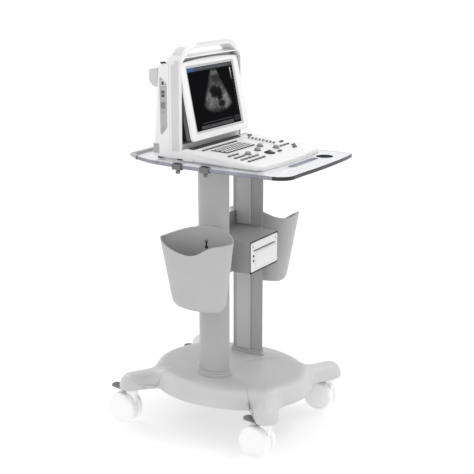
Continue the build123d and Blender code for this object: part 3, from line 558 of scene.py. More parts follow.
def caster(name, x, y):
    yw = y + TRAIL
    wheels = [wheel(side, x, yw) for side in SIDES]
    axle = rod(5, -24, 24, (x, yw, AXLE_Z), (1, 0, 0), 24)
    add(f"caster_{name}_twin_wheels", join(wheels + [axle]), f"wheels_{name}", "caster_white",
        f"caster_{name}_wheels", angle=50)
    side_view = side_plane(x)
    hood = plate([ring(yw, AXLE_Z, 42.8, 64), ring(yw, AXLE_Z, 5.06, 32)], -8.9, 8.9, 2.2, side_view)
    neck_line = rounded([(y - 17, 104), (y - 15, 84), (y - 8, 60), (yw + 4, 62), (yw + 24, 84),
                         (y + 17, 104)],
                        [2, 6, 6, 6, 6, 2])
    neck = plate([neck_line], -8.9, 8.9, 2.2, side_view)
    head = lathe([(0, 101.5), (14.5, 101.5), (17.6, 102.3), (18.8, 104.2), (19, 106), (19, 114.2),
                  (18.4, 116.6), (16.8, 118), (8, 118), (6.4, 118.6), (6, 120), (6, 145), (5, 146), (0, 146)],
                 (x, y, 0), (0, 0, 1))
    ears = plate([rounded([(y + 8, 102), (y + 17, 102), (y + 17, 113.4), (y + 8, 113.4)], 2)], -7, 7, 0.6,
                 side_view)
    add(f"caster_{name}_hood", join([hood, neck, head, ears]), f"caster_{name}", "caster_white",
        f"caster_{name}_fork", angle=40)
    rise = math.radians(4)
    y += PEDAL_Y
    pedal_view = axes((x, y, PEDAL_Z), (1, 0, 0), (0, math.cos(rise), math.sin(rise)))
    pad_line = rounded([(-15.5, 7), (15.5, 7), (17, 20), (17, 60), (-17, 60), (-17, 20)],
                       [3, 3, 8, 15, 15, 8])
    pedal = [plate([pad_line], -1, 4, 1.3, pedal_view)]
    for k in range(3):
        rib = rectangle(-11 + k, 11 - k, 37 + 6.5 * k, 39.5 + 6.5 * k, 1.2)
        pedal.append(plate([rib], 3.5, 4.7, 0.5, pedal_view))
    for side in SIDES:
        ear_view = axes((x + side * 12.5, y, PEDAL_Z), (0, math.cos(rise), math.sin(rise)),
                        (0, -math.sin(rise), math.cos(rise)))
        pedal.append(plate([rectangle(-3.9, 12, -3.9, 3.9, 3.6)], -3.9, 3.9, 0.8, ear_view))
    pedal.append(rod(2, -16, 16, (x, y, PEDAL_Z), (1, 0, 0), 20))
    add(f"caster_{name}_brake_pedal", join(pedal), f"pedal_{name}", "pedal_grey", f"caster_{name}_pedal",
        angle=40)


# ------------------------------------------------------------ columns, tray, baskets

COLUMN_FLAT, COLUMN_HALF = 96.4, 53.5       # inner face along X, half width along Y
PRINTER_LOW, PRINTER_HIGH = 508, 606
COLUMN_LOW, COLUMN_HIGH = 150, 826


def column_line(side, grow=0.0, corner=2.0):
    """The D-section of a column; grow makes it larger all round."""
    flat, half, radius, centre = COLUMN_FLAT - grow, COLUMN_HALF + grow, 55.78 + grow, 80.62
    reach = math.asin(min(half / radius, 1.0))
    arc = [(centre + radius * math.cos(t), radius * math.sin(t))
           for t in (-reach + 2 * reach * i / 40 for i in range(41))]
    line = [(flat, -half)] + arc[1:-1] + [(flat, half)]
    line = rounded(line, [corner] + [0] * (len(line) - 2) + [corner])
    return [(side * x, y) for x, y in line]


def columns():
    for side, name in ((-1, "column_left"), (1, "column_right")):
        body = plate([column_line(side)], COLUMN_LOW, COLUMN_HIGH)
        # the right column's front-facing faces take painted shade
        paint(body, lambda centre, normal: side > 0 and normal.y < -0.6)
        add(f"{name}_post", body, "trolley", "column_paint", name,
            materials=[MAT["column_paint"], COLUMN_PAINTED_SHADE])
    collars = []
    for side in SIDES:
        collars.append(plate([column_line(side, 6.0, 8), column_line(side, 0.2)], 181, 192, 2.0))
        collars.append(plate([column_line(side, 3.2, 6), column_line(side, 0.2)], 191, 199, 2.4))
    add("column_foot_collars", join(collars), "trolley", "base_plastic", "column_collars")
    strips = []
    for side in SIDES:
        for low, high in ((200, PRINTER_LOW - 3), (PRINTER_HIGH + 3, COLUMN_HIGH)):
            line = rounded([(COLUMN_FLAT, -12), (92.2, -12), (91.4, -10.5), (91.4, 36.5), (92.2, 38),
                            (COLUMN_FLAT, 38)], 0.6)
            strips.append(plate([[(side * x, y) for x, y in line]], low, high, 0.4))
            for groove_y in (-8.5, 34.5):
                bead = rectangle(90.9, 92, groove_y - 0.7, groove_y + 0.7, 0.4)
                strips.append(plate([[(side * x, y) for x, y in bead]], low + 1, high - 1, 0.2))
    add("column_inner_strips", join(strips), "trolley", "strip_plastic", "column_cover_strips")


TRAY_LOW, TRAY_HIGH, TRAY_REAR = 832, 843, 232
BOTTLE_HOLE = (124, -248)


def tray_line():
    """Plan of the clear plate, anticlockwise from its front: bowed front, wide left and tight right corner."""
    front = [(x, -311 + 6 * ((x - 20) / 160) ** 2) for x in (-120, -80, -40, 0, 40, 80, 120, 160)]
    corners = [(213, -299), (213, 20), (189, 165), (161, TRAY_REAR), (-161, TRAY_REAR), (-189, 165),
               (-213, 20), (-213, -306)]
    radii = [0] * 8 + [18, 60, 40, 14, 14, 40, 60, 85]
    return rounded(front + corners, radii, 12)


def tray_kind(c, n):
    """0 clear face, 1 edge with painted light, 2 edge with painted shade: the front, the underside and the bottle
    hole.
    """
    if abs(n.z) > 0.93:
        return 0
    if -82 < c.x < 99 and -252 < c.y < -224:
        return 1
    front = c.y < -165 and (n.x < 0.6 or c.x < 160)
    return 2 if front or n.z < -0.2 or math.hypot(c.x - BOTTLE_HOLE[0], c.y - BOTTLE_HOLE[1]) < 27 else 1


def tray():
    slot = rectangle(-71, 88, -248, -228, 9.9, 8)
    mesh = plate([tray_line(), slot, ring(*BOTTLE_HOLE, 24, 64)], TRAY_LOW, TRAY_HIGH, 1.8)
    # edges take painted light, and painted shade at the front, underside and bottle hole
    paint(mesh, tray_kind)
    add("tray_plate", mesh, "trolley", "clear_acrylic", "tray",
        materials=[MAT["clear_acrylic"], EDGE_LILAC, EDGE_PAINTED_SHADE], angle=40)
    outer = [(-163, 232.3), (-126, 283), (126, 283), (163, 232.3)]
    inner = [(140, 232.3), (118, 266), (-118, 266), (-140, 232.3)]
    rail_line = rounded(outer + inner, [1, 20, 20, 1, 1, 9, 9, 1], 8)
    add("tray_rail", plate([rail_line], TRAY_LOW - 1, TRAY_HIGH - 1, 4.6, steps=5), "trolley", "rail_metal",
        "tray_rear_rail")


def tray_clips():
    """Two clips hooked on each side edge, with a thumb screw below and a pad on top."""
    jaws, grips = [], []
    for side in SIDES:
        x0, x1 = sorted((side * 202, side * 214))
        for y in (-42, 52):
            jaw_view = axes((0, y, 0), (1, 0, 0), (0, 0, 1))
            jaw = [(201, 846), (201, 843.2), (213.3, 843.2), (213.3, 831.8), (201, 831.8), (201, 828),
                   (216.9, 828), (216.9, 846)]
            jaw = rounded(jaw, [0.8, 0.4, 0.4, 0.4, 0.4, 0.8, 4, 4])
            jaws.append(plate([[(side * x, z) for x, z in jaw]], -15, 15, 1.0, jaw_view))
            knob = [(0, 817), (5.2, 817), (6.4, 818), (6.6, 819), (6.6, 824), (6.0, 825.4), (3.2, 826),
                    (3.0, 832), (0, 832)]
            jaws.append(lathe(knob, (side * 207, y, 0), (0, 0, 1), 28))
            grips.append(plate([rectangle(x0, x1, y - 11, y + 11, 2.5)], 845.5, 847.6, 0.7))
    add("tray_clamps", join(jaws), "trolley", "clip_chrome", "tray_clips", angle=40)
    add("tray_clamp_pads", join(grips), "trolley", "rubber_black")


# basket rims: (y, z) along the side next to the column and along the outer side
RIM_BACK = [(-118, 630), (-103, 641), (-83, 648), (-50, 655), (-10, 655), (57, 645), (111, 626), (118, 622)]
RIM_OUT = [(-118, 629), (-95, 625), (-70, 619), (-46, 602), (-28, 593), (-9, 590), (12, 590.5), (33, 594),
           (73, 603), (100, 613), (118, 622)]
RIGHT_BACK = [(-127, 641), (-121, 636), (-113, 628), (-97, 625), (-71, 628), (-56, 634), (-37, 640),
              (-10, 650), (57, 648), (103, 641), (118, 630)]
RIGHT_OUT = [(-127, 641), (-118, 640), (-107, 634), (-97, 629), (-82, 622), (-66, 611), (-50, 601),
             (-28, 593), (-9, 590), (12, 590.5), (33, 594), (73, 603), (100, 613), (118, 622)]
BASKET_LOW, BASKET_BACK = 411, 136.7
WALL_FOOT = 441                             # the wall is straight from here up
SMOOTHING = (1, 3, 5, 6, 5, 3, 1)


def basket_ellipse(z):
    f = (z - BASKET_LOW) / 251
    return 45 + 15 * f, 86 + 42 * f


def rim_height(turn, side):
    """Height of the rim at an angle; 0 points away from the column."""
    inner, outer = (RIM_BACK, RIM_OUT) if side < 0 else (RIGHT_BACK, RIGHT_OUT)
    y = 121 * math.sin(turn)
    for _ in range(3):
        back, out = between(inner, y), between(outer, y)
        share = smoothstep(math.cos(turn), -0.22, 0.22)
        z = back * (1 - share) + out * share
        y = basket_ellipse(z)[1] * math.sin(turn)
    return z


def basket(side, name):
    count = 120
    angles = turns(count)
    raw = [rim_height(t, side) for t in angles]
    rims = [sum(raw[(i + k - 3) % count] * w for k, w in enumerate(SMOOTHING)) / sum(SMOOTHING) for i in range(count)]

    def level(height, inset):
        """One ring; height turns the rim's height at a point into the ring's."""
        points = []
        for t, rim in zip(angles, rims):
            z = height(rim)
            a, b = basket_ellipse(z)
            points.append((side * (BASKET_BACK + a + (a - inset) * math.cos(t)), (b - inset) * math.sin(t),
                           z))
        return points

    def flat(*steps):
        return [level(lambda rim: z, inset) for z, inset in steps]

    def wall(inset, *shares):
        return [level(lambda rim: WALL_FOOT + (rim - WALL_FOOT) * f, inset) for f in shares]

    rings = flat((BASKET_LOW, 30), (411.4, 24), (413, 16.5), (416.5, 10), (421, 5.6), (427, 2.6), (434, 0.8),
                 (WALL_FOOT, 0))
    rings += wall(0, 0.2, 0.4, 0.6, 0.8, 0.93)
    for drop, inset in ((3.4, 0), (2.2, -0.35), (0.8, -0.3), (0, 0.6), (0, 2.4), (0.8, 3.3), (2.2, 3.4),
                        (3.6, 3.0)):
        rings.append(level(lambda rim: rim - drop, inset))
    rings += wall(3, 0.93, 0.8, 0.6, 0.4, 0.2, 0.0)
    rings += flat((435, 3.8), (429, 5.8), (423.5, 9), (419, 14), (416, 20), (414.6, 27), (414.4, 34))
    add(f"{name}_shell", loft(rings), "trolley", "basket_plastic", name, angle=60, weighted=False)
    x = side * (BASKET_BACK + 2.9)
    key = [p for p in ring(0, 590, 5.5, 24) if not (abs(p[0]) < 2.6 and p[1] > 590)]
    key = sorted(key, key=lambda p: math.atan2(p[0], 590 - p[1]))
    key += [(2.6, 612)] + half_circle(0, 614, 2.6, 0, 8) + [(-2.6, 612)]
    hole = plate([key], -0.5, 0.6, 0.15, side_plane(x))
    pip = rod(2.6, -0.4, 0.5, (x, 0, 470), (side, 0, 0), 20)
    # dark plate in the keyhole and screw hole: painted shade
    add(f"{name}_keyhole", join([hole, pip]), "trolley", "dark_plastic", materials=[HOLE_PAINTED_SHADE])


def screw_head(centre, axis, radius, height):
    """A pan head."""
    return lathe([(0, 0), (radius, 0), (radius, height * 0.35), (radius * 0.86, height * 0.8),
                  (radius * 0.55, height), (0, height)], centre, axis, 24)


def fasteners():
    parts = []
    for side in SIDES:
        for z in (611, 470):
            parts.append(rod(2.4, -8, 4.5, (side * 136.4, 0, z), (side, 0, 0), 20))
            parts.append(screw_head((side * 140.9, 0, z), (side, 0, 0), 4.6, 2.5))
    slots = []
    cross, arm = [], [(-0.45, -2), (0.45, -2), (0.45, -0.45)]
    for _ in range(4):
        cross += arm
        arm = [(-y, x) for x, y in arm]
    for x in (-67, 67):
        parts.append(screw_head((x, -115.9, 589), (0, -1, 0), 3.2, 1.3))
        slots.append(plate([cross], -0.1, 0.1, 0, axes((x, -117.15, 589), (1, 0, 0), (0, 0, 1))))
    add("screws", join(parts), "trolley", "screw_steel", "fasteners")
    # dark crosses in the screw heads: painted shade
    add("screw_crosses", join(slots), "trolley", "dark_plastic", materials=[HOLE_PAINTED_SHADE])


# ------------------------------------------------------------ printer

def printer():
    low, high = PRINTER_LOW, PRINTER_HIGH
    tube = [rectangle(-82, 82, low, high, 3), rectangle(-80, 80, low + 2, high - 2, 2)]
    parts = [plate(tube, -128, 114, 0.5, FRONT_VIEW)]
    for side in SIDES:
        x0, x1 = sorted((side * 81, side * 96.3))
        parts.append(plate([rectangle(x0, x1, -53.5, 128, 2)], low, high, 0.8))
    parts.append(plate([rectangle(-96.3, 96.3, low, high, 2)], -128, -126, 0.5, FRONT_VIEW))
    parts.append(plate([rectangle(-96.3, 96.3, 605, 648, 5)], -48.5, -45.5, 0.8, FRONT_VIEW))
    add("printer_case", join(parts), "trolley", "housing_paint", "printer_housing")
    # dark ring in the gap round the printer's front: painted shade
    gap = [rectangle(-81.9, 81.9, low + 0.1, high - 0.1, 3), rectangle(-79.2, 79.2, 512.8, 602.2, 3)]
    add("printer_case_gap", plate(gap, 112, 114.9, 0.2, FRONT_VIEW), "trolley", "dark_plastic",
        materials=[GAP_PAINTED_SHADE])
    holes = [rectangle(-63, 68, 573, 578.4, 1.4), rectangle(-51.5, 74.5, 518.5, 569.5, 2),
             ring(-64, 561, 3.6, 24), ring(-64, 546, 3.6, 24)]
    front = plate([rectangle(-79, 79, 513, 602, 5)] + holes, 108, 116, 1.0, FRONT_VIEW)
    lip = plate([rectangle(-66, 71, 578.6, 581, 1.2)], 115.6, 116.6, 0.4, FRONT_VIEW)
    add("printer_fascia", join([front, lip]), "trolley", "printer_plastic", "printer_front")
    slot_floor = plate([rectangle(-64, 69, 572, 579, 1)], 104, 109.5, 0.2, FRONT_VIEW)
    # dark floor in the paper slot: painted shade
    add("printer_paper_slot", slot_floor, "trolley", "dark_plastic", materials=[HOLE_PAINTED_SHADE])
    door = plate([rectangle(-50.8, 73.8, 519.2, 569, 2.4)], 112, 117, 1.4, FRONT_VIEW)
    hinge = rod(1.5, -66, 66, (11.5, -112, 524.5), (1, 0, 0), 20)
    ridge = plate([rectangle(0, 23, 562.5, 565.5, 1.2)], 116.6, 118, 0.6, FRONT_VIEW)
    add("printer_paper_door", join([door, hinge, ridge]), "printer_door", "printer_plastic", "printer_door")
    roll = x_rings([(6, -47), (22, -47), (23, -46), (23, 62), (22, 63), (6, 63)], -78, 545, 56)
    add("paper_roll", loft(roll, wrap=True), "paper_roll", "paper_white", "printer_paper_roll")
    for name, z in (("power", 561), ("feed", 546)):
        cap = lathe([(0, -8), (3.2, -8), (3.2, 0.9), (2.7, 1.6), (1.6, 1.8), (0, 1.75)], (-64, -116, z),
                    (0, -1, 0), 24)
        add(f"printer_{name}_key", cap, f"printer_{name}_button", "dark_plastic", f"printer_{name}_button")


# ------------------------------------------------------------ ultrasound machine

SHOULDER_X, SHOULDER_Z, SHOULDER_A, SHOULDER_B = 80, 1105, 85, 70   # centre and half axes of the frame's corners
GRIP_A, GRIP_B = 68, 56                                            # half axes inside the handle
FACE_Y, BACK_Y, HANDLE_Y = 66, 109, 118                            # the frame's front and back, the handle's back
MACHINE_FOOT, MACHINE_TOP = 850.3, 1175
HINGE_Y, HINGE_Z, HINGE_BORE, HINGE_R = 48.5, 864, 4.06, 16.5      # axis of the folding control panel


def arch_point(a, b, turn):
    return SHOULDER_X + a * math.cos(turn), SHOULDER_Z + b * math.sin(turn)


def band_stations():
    """(outer, inner) points along the portal from the right foot over the top to the left foot."""
    stations = [((165, z), (160.6, z)) for z in (MACHINE_FOOT, 853, 870, 890, 940, 990, 1040, 1080, 1098)]
    for i in range(22):
        turn = math.pi / 2 * i / 21
        outer, grip = arch_point(SHOULDER_A, SHOULDER_B, turn), arch_point(GRIP_A, GRIP_B, turn)
        near = arch_point(SHOULDER_A - 4.4, SHOULDER_B - 4.4, turn)
        share = smoothstep(turn, math.radians(12), math.radians(38))
        stations.append((outer, tuple(n * (1 - share) + g * share for n, g in zip(near, grip))))
    stations += [((x, MACHINE_TOP), (x, MACHINE_TOP - 14)) for x in (60, 40, 20, 0)]
    return stations + [((-o[0], o[1]), (-n[0], n[1])) for o, n in reversed(stations[:-1])]


def frame_kind(c, n):
    """0 plain, 1 painted shade on the recess down the sides, 2 painted shade on the shoulder facet and the bevel of
    the handle.
    """
    if 74 < c.y < 101 and abs(n.x) > 0.8 and abs(c.x) > 158 and 862 < c.z < 1118 + (100 - c.y) * 0.8:
        return 1
    facet = c.y < 73.5 and c.z > 1150 and c.x > -75 and n.z > 0.1
    return 2 if facet or (76 < c.y < 104 and 1143 < c.z < 1166 and c.x < 0) else 0


def portal_band():
    """The frame's side walls and carry handle as one band, its outer side slightly hollowed down the legs."""
    rings = []
    for outer, inner in band_stations():
        o, n = Vector(outer), Vector(inner)
        depth, up = (o - n).length, (o - n).normalized()
        lift = smoothstep(o.y, 1112, 1150)
        rear = BACK_Y + (HANDLE_Y - BACK_Y) * smoothstep(o.y, 1119, 1128)
        hollow = 1.3 * (1 - lift)
        soft = 1.2 + 3.3 * lift
        edge = 2.6 + 4.4 * lift
        under = min(soft, depth * 0.3)
        line = [(FACE_Y + under, 0), (FACE_Y + under * 0.3, under * 0.3), (FACE_Y, under),
                (FACE_Y, depth - edge), (FACE_Y + edge * 0.12, depth - edge * 0.5),
                (FACE_Y + edge * 0.45, depth - edge * 0.14), (FACE_Y + edge, depth)]
        for y, drop in ((74, 0), (75.5, hollow * 0.5), (77.5, hollow), (88, hollow), (97.5, hollow),
                        (99.5, hollow * 0.5), (101, 0)):
            across = y + (rear - BACK_Y) * (y - FACE_Y) / (BACK_Y - FACE_Y)
            line.append((across, depth - drop - 0.9 * lift * ((y - 88) / 20) ** 2))
        crown = 0.9 * lift
        line += [(rear - edge, depth - crown), (rear - edge * 0.45, depth - edge * 0.14 - crown),
                 (rear - edge * 0.12, depth - edge * 0.5 - crown), (rear, depth - edge), (rear, under),
                 (rear - under * 0.3, under * 0.3), (rear - under, 0)]
        rings.append([((n + up * h).x, y, (n + up * h).y) for y, h in line])
    mesh = loft(rings)
    paint(mesh, frame_kind)
    return mesh


def arch_line(a, b, foot, top, steps):
    """The inside of the portal between two heights, in (x, z)."""
    line = [(SHOULDER_X + a, foot)] if foot < SHOULDER_Z else []
    for i in range(steps + 1):
        x, z = arch_point(a, b, math.pi / 2 * i / steps)
        if foot <= z <= top:
            line.append((x, z))
    return line + [(-x, z) for x, z in reversed(line)]


def front_frame():
    bar = arch_line(SHOULDER_A - 1.5, SHOULDER_B - 1.5, 1133.8, 1140.2, 60)
    block = arch_line(SHOULDER_A - 1.2, SHOULDER_B - 1.2, 1119.5, 1140, 60)
    parts = [portal_band(), plate([bar], -103, -67, 1.8, FRONT_VIEW),
             plate([block], -117.6, -99, 1.8, FRONT_VIEW)]
    pin_y, pin_z, lug_r = 91.16, 1114.2, 6
    lug = [(100, pin_z + lug_r)] + half_circle(pin_y, pin_z, lug_r, math.pi / 2, 16) + [(100, pin_z - lug_r)]
    for side in SIDES:
        parts.append(plate([lug, ring(pin_y, pin_z, HINGE_BORE, 28)], -2.8, 2.8, 0.4, side_plane(side * 120)))
    # the recess, the shoulder facet and the handle bevel take painted shade
    add("front_frame_shell", join(parts), "trolley", WHITE_SLOT, "front_frame",
        materials=[MAT[WHITE_SLOT], FRAME_RECESS_PAINTED_SHADE, FRAME_FACET_PAINTED_SHADE], angle=38)
    wall_line = arch_line(SHOULDER_A - 2, SHOULDER_B - 2, 852, 1136, 40)
    ribs = [plate([rectangle(-150, 150, z, z + 2, 0.8)], -99.8, -98.6, 0.4, FRONT_VIEW) for z in (930, 980,
                                                                                                  1030)]
    wall = plate([wall_line], -108.6, -99.4, 0.2, FRONT_VIEW)
    # the wall's dark lower part is painted shade under the bezel and handle
    add("screen_recess_wall", join([wall] + ribs), "trolley", "hinge_grey", materials=[RECESS_WALL_PAINTED_SHADE])
    chin = plate([rectangle(-163.4, 163.4, 850.2, 890.6, 4)], -103, -70, 2.0, FRONT_VIEW)
    add("front_chin", chin, "trolley", WHITE_SLOT, angle=38)
    grille = []
    for side in SIDES:
        x0, x1 = sorted((side * 126, side * 159.6))
        grille.append(plate([rectangle(x0, x1, 889, 919, 2.5)], -99.8, -98.8, 0.3, FRONT_VIEW))
        for k in range(7):
            z = 893 + 3.6 * k
            bar = rectangle(x0 + 4, x1 - 4, z, z + 1.6, 0.7)
            grille.append(plate([bar], -98.9, -98.3, 0.2, FRONT_VIEW))
    add("speaker_grilles", join(grille), "trolley", "grey_plastic", materials=[VENT_GREY])


def hinge_bosses():
    # the left boss takes the grey finish and the right one white: painted shade on the left, shaded side
    for side, name, slot in ((-1, "left", "hinge_grey"), (1, "right", WHITE_SLOT)):
        inner, outer = 118.2, 157
        profile = [(HINGE_BORE, inner), (15.2, inner), (16.3, inner + 1.1), (HINGE_R, inner + 2.2),
                   (HINGE_R, outer - 4), (16.0, outer - 1.6), (14.4, outer), (HINGE_BORE, outer)]
        boss = loft(x_rings(profile, HINGE_Y, HINGE_Z, side=side), wrap=True)
        foot_line = rounded([(HINGE_Y, 850), (71, 850), (71, 866), (HINGE_Y, 866)], [6, 1, 1, 1])
        foot = plate([foot_line], -19, 19, 1.0, side_plane(side * (inner + outer) / 2))
        add(f"panel_hinge_boss_{name}", join([boss, foot]), "trolley", slot, angle=40)


HOUSING_SIDE, PORT_SIDE = -164.9, -165.1     # the left wall, and the plate with the ports
HOUSING_FRONT, CAP_Z = BACK_Y + 0.1, 1116   # where the housing starts behind the frame, and rounds off at the top


def main_housing():
    rear = [(850, 170.5), (852, 171.7), (858, 172), (880, 169), (1106, 151.5), (1112, 150.2), (1116, 148.4),
            (1118.6, 145.6), (1120, 141)]
    rings = []
    for z in (850.2, 851.2, 853, 858, 866, 880, 920, 960, 1000, 1040, 1070, 1090, 1105, 1109, 1112, 1114,
              1116, 1117.5, 1118.8, 1119.6, 1120):
        half = 164.5
        if z > SHOULDER_Z:
            half = SHOULDER_X + 84.5 * math.sqrt(max(1 - ((z - SHOULDER_Z) / SHOULDER_B) ** 2, 0))
        if z < 853:
            half -= (853 - z) * 0.6
        y1 = between(rear, z)
        if z > CAP_Z:
            half -= (z - CAP_Z) ** 2 * 0.18
        corner = min(15, (y1 - BACK_Y) * 0.45)
        line = rounded([(-half, HOUSING_FRONT), (half, HOUSING_FRONT), (half, y1), (-half, y1)],
                       [1.0, 1.0, corner, corner], 8)
        rings.append([(x, y, z) for x, y in line])
    add("main_housing_shell", loft(rings), "trolley", WHITE_SLOT, "main_housing", angle=32)
    vent = []
    for k in range(5):
        z, back = 862 + 5.2 * k, 166.4 - 0.35 * k
        line = [(148, z), (back, z), (back - 0.2, z + 2.8), (148, z + 2.8)]
        vent.append(plate([rounded(line, 1.2)], HOUSING_SIDE, -164.0, 0.2, SIDE_VIEW))
    field = plate([rounded([(145, 859), (167.6, 859), (166, 889), (145, 889)], 3)], -164.75, -164.0, 0.2,
                  SIDE_VIEW)
    add("side_vent_field", field, "trolley", "grey_plastic", materials=[VENT_GREY])
    # the vent slots are a darker grey than their field: painted shade in the slots
    add("side_vent_slots", join(vent), "trolley", "dark_plastic", materials=[MAT["key_grey"]])
    back_vents = []
    for z in range(925, 998, 9):
        for x in (38, 104):
            view = axes((x, between(rear, z), z), (1, 0, 0), (0, -0.08, 1))
            back_vents.append(plate([rectangle(-28, 28, -1.5, 1.5, 1.4)], -0.35, 0.4, 0.15, view))
    # dark plates in the rear vent slots: painted shade
    add("rear_vent_slots", join(back_vents), "trolley", "dark_plastic", materials=[HOLE_PAINTED_SHADE])


def side_ports():
    line = rounded([(141, 1086), (116, 1064), (116, 937), (140, 910)], [4, 5, 5, 4])
    add("side_port_plate", plate([line], PORT_SIDE, -162.5, 0.5, SIDE_VIEW), "trolley", "grey_plastic",
        "side_port_panel", materials=[PORT_PLATE])
    light, dark, metal = [], [], []

    def frame_of(y0, y1, z0, z1, radius, wall, target, deep=0.9):
        hole = rectangle(y0 + wall, y1 - wall, z0 + wall, z1 - wall, max(radius - wall, 0.3))
        outlines = [rectangle(y0, y1, z0, z1, radius), hole]
        target.append(plate(outlines, PORT_SIDE - deep, HOUSING_SIDE, 0.25, SIDE_VIEW))

    def fill(y0, y1, z0, z1, radius, target, deep=0.12):
        target.append(plate([rectangle(y0, y1, z0, z1, radius)], PORT_SIDE - deep, HOUSING_SIDE, 0.05,
                            SIDE_VIEW))

    frame_of(122.5, 136, 1057, 1073, 2.5, 2.2, light)
    fill(124.5, 134, 1059, 1071, 1.2, dark)
    for z0 in (1024.5, 1035):
        frame_of(122.5, 135, z0, z0 + 9, 1.0, 1.0, metal, 0.6)
        fill(123.3, 134.2, z0 + 0.8, z0 + 8.2, 0.6, dark, 0.3)
    frame_of(121.5, 136, 991, 1011, 1.2, 1.1, metal, 0.7)
    for row in range(4):
        for column in range(3):
            y, z = 123.4 + 4.0 * column, 993 + 4.3 * row
            fill(y, y + 3, z, z + 3, 0.6, dark, 0.2)
    for y, z, r in ((130, 980, 4.2), (130, 931, 6.4)):
        metal.append(lathe([(r * 0.62, 0), (r, 0), (r, 0.7), (r * 0.9, 1.1), (r * 0.66, 1.1),
                            (r * 0.62, 0.7)],
                           (HOUSING_SIDE, y, z), (-1, 0, 0), 32))
        dark.append(rod(r * 0.64, 0, 0.45, (HOUSING_SIDE, y, z), (-1, 0, 0), 28))
    add("port_frames_light", join(light), "trolley", WHITE_SLOT)
    add("port_frames_metal", join(metal), "trolley", "screw_steel", angle=40)
    dark.append(plate([rectangle(80, 128, 872, 900, 3)], -170.2, -158, 0.6, FRONT_VIEW))
    dark.append(plate([rectangle(86, 122, 876, 896, 5)], -170.9, -170, 0.3, FRONT_VIEW))
    add("port_sockets", join(dark), "trolley", "port_plastic", "side_ports")
    pins = [plate([rectangle(x - 1.2, x + 1.2, z - 2.6, z + 2.6, 0.5)], -171.6, -170.6, 0.2, FRONT_VIEW)
            for x, z in ((96, 887), (104, 884), (112, 887))]
    add("inlet_pins", join(pins), "trolley", "screw_steel")


def probe_socket():
    line = rounded([(151.2, 1107), (182, 1102), (184, 1094), (182, 1066), (170, 1054), (152.8, 1050)],
                   [2, 5, 5, 6, 8, 4])
    body = plate([line], -157.6, -50.4, 2.4, SIDE_VIEW)
    add("probe_socket_body", body, "trolley", "grey_plastic", "probe_connector", angle=40)
    collar = plate([rectangle(-142, -66, 1062, 1097, 6), rectangle(-138.5, -69.5, 1065.5, 1093.5, 4)], -184.0,
                   -181.6, 0.5, FRONT_VIEW)
    add("probe_socket_collar", collar, "trolley", "hinge_grey")
    face = plate([rectangle(-139, -69, 1065, 1094, 4)], -182.9, -181.4, 0.1, FRONT_VIEW)
    # dark face of the socket: dark plastic with painted shade inside the collar
    add("probe_socket_face", face, "trolley", "dark_plastic", materials=[HOLE_PAINTED_SHADE])
    pins = []
    for row in range(5):
        for column in range(14):
            pins.append(lathe([(0, 0), (0.8, 0), (0.7, 0.6), (0, 0.7)],
                              (-134 + 4.6 * column, 182.8, 1069.5 + 5 * row), (0, 1, 0), 8))
    add("probe_socket_pins", join(pins), "trolley", "clip_chrome")
    hub = lathe([(0, 1112), (6, 1112), (6, 1122), (5.4, 1123), (0, 1123)], (-147, 136, 0), (0, 0, 1), 32)
    lever = plate([rounded([(-163, 132.4), (-145, 131.6), (-145, 140.4), (-163, 139.6)], [3, 2, 2, 3])],
                  1120.6, 1124.6, 0.9)
    add("probe_latch_lever", join([hub, lever]), "probe_latch", "dark_plastic", "probe_latch", angle=40)


def rubber_feet():
    foot = [(0, 843.1), (8.6, 843.1), (9.8, 844), (10, 845.5), (10, 850.4), (0, 850.4)]
    feet = [lathe(foot, (x, y, 0), UP, 28) for x in (-140, 140) for y in (88, 156)]
    add("machine_feet", join(feet), "trolley", "rubber_black", "rubber_feet")


# ------------------------------------------------------------ screen

TILT = math.radians(11.7)
SCREEN_UP = (0, math.sin(TILT), math.cos(TILT))
SCREEN_CENTRE = (0, 54.4, 1015.6)
SCREEN = axes(SCREEN_CENTRE, (1, 0, 0), SCREEN_UP)


def local_rings(frame_matrix, levels):
    """Closed rings in a local plane: (outline, height) pairs to world points in mm."""
    return [[tuple((frame_matrix @ Vector((x * MM, y * MM, height * MM))) / MM) for x, y in line]
            for line, height in levels]


def screen():
    hole = rectangle(-129, 129, -98.2, 98.2, 3)
    top = [(x, 110 + 6 * (1 - (x / 145) ** 2)) for x in (140, 110, 75, 37, 0, -37, -75, -110, -140)]
    outline = rounded([(-157, -117), (157, -117), (157, 109)] + top + [(-157, 109)],
                      [12, 12, 12] + [0] * 9 + [12], 8)
    bezel = plate([outline, hole], -9, 0, 2.6, SCREEN, steps=4)
    add("screen_bezel_face", bezel, "screen", WHITE_SLOT, "screen_bezel", angle=38)
    levels = [(rectangle(-130, 130, -99.2, 99.2, 3), -3.6), (rectangle(-129.4, 129.4, -98.6, 98.6, 3), -0.5),
              (rectangle(-128.8, 128.8, -98, 98, 3), -0.4),
              (rectangle(-123.2, 123.2, -92.4, 92.4, 0.8), -2.8),
              (rectangle(-122.8, 122.8, -92, 92, 0.6), -3.2), (rectangle(-122.8, 122.8, -92, 92, 0.6), -3.7)]
    band = loft(local_rings(SCREEN, levels), wrap=True)
    # the step down to the glass takes painted shade
    add("screen_bezel_band", band, "screen", WHITE_SLOT, materials=[BEZEL_BAND_PAINTED_SHADE])
    panel = plate([rectangle(-127.4, 127.4, -96.6, 96.6, 1)], -9, -3.2, 0.2, SCREEN)
    add("lcd_display", panel, "screen", "lcd_glass", "lcd_panel", materials=[lcd_picture()])


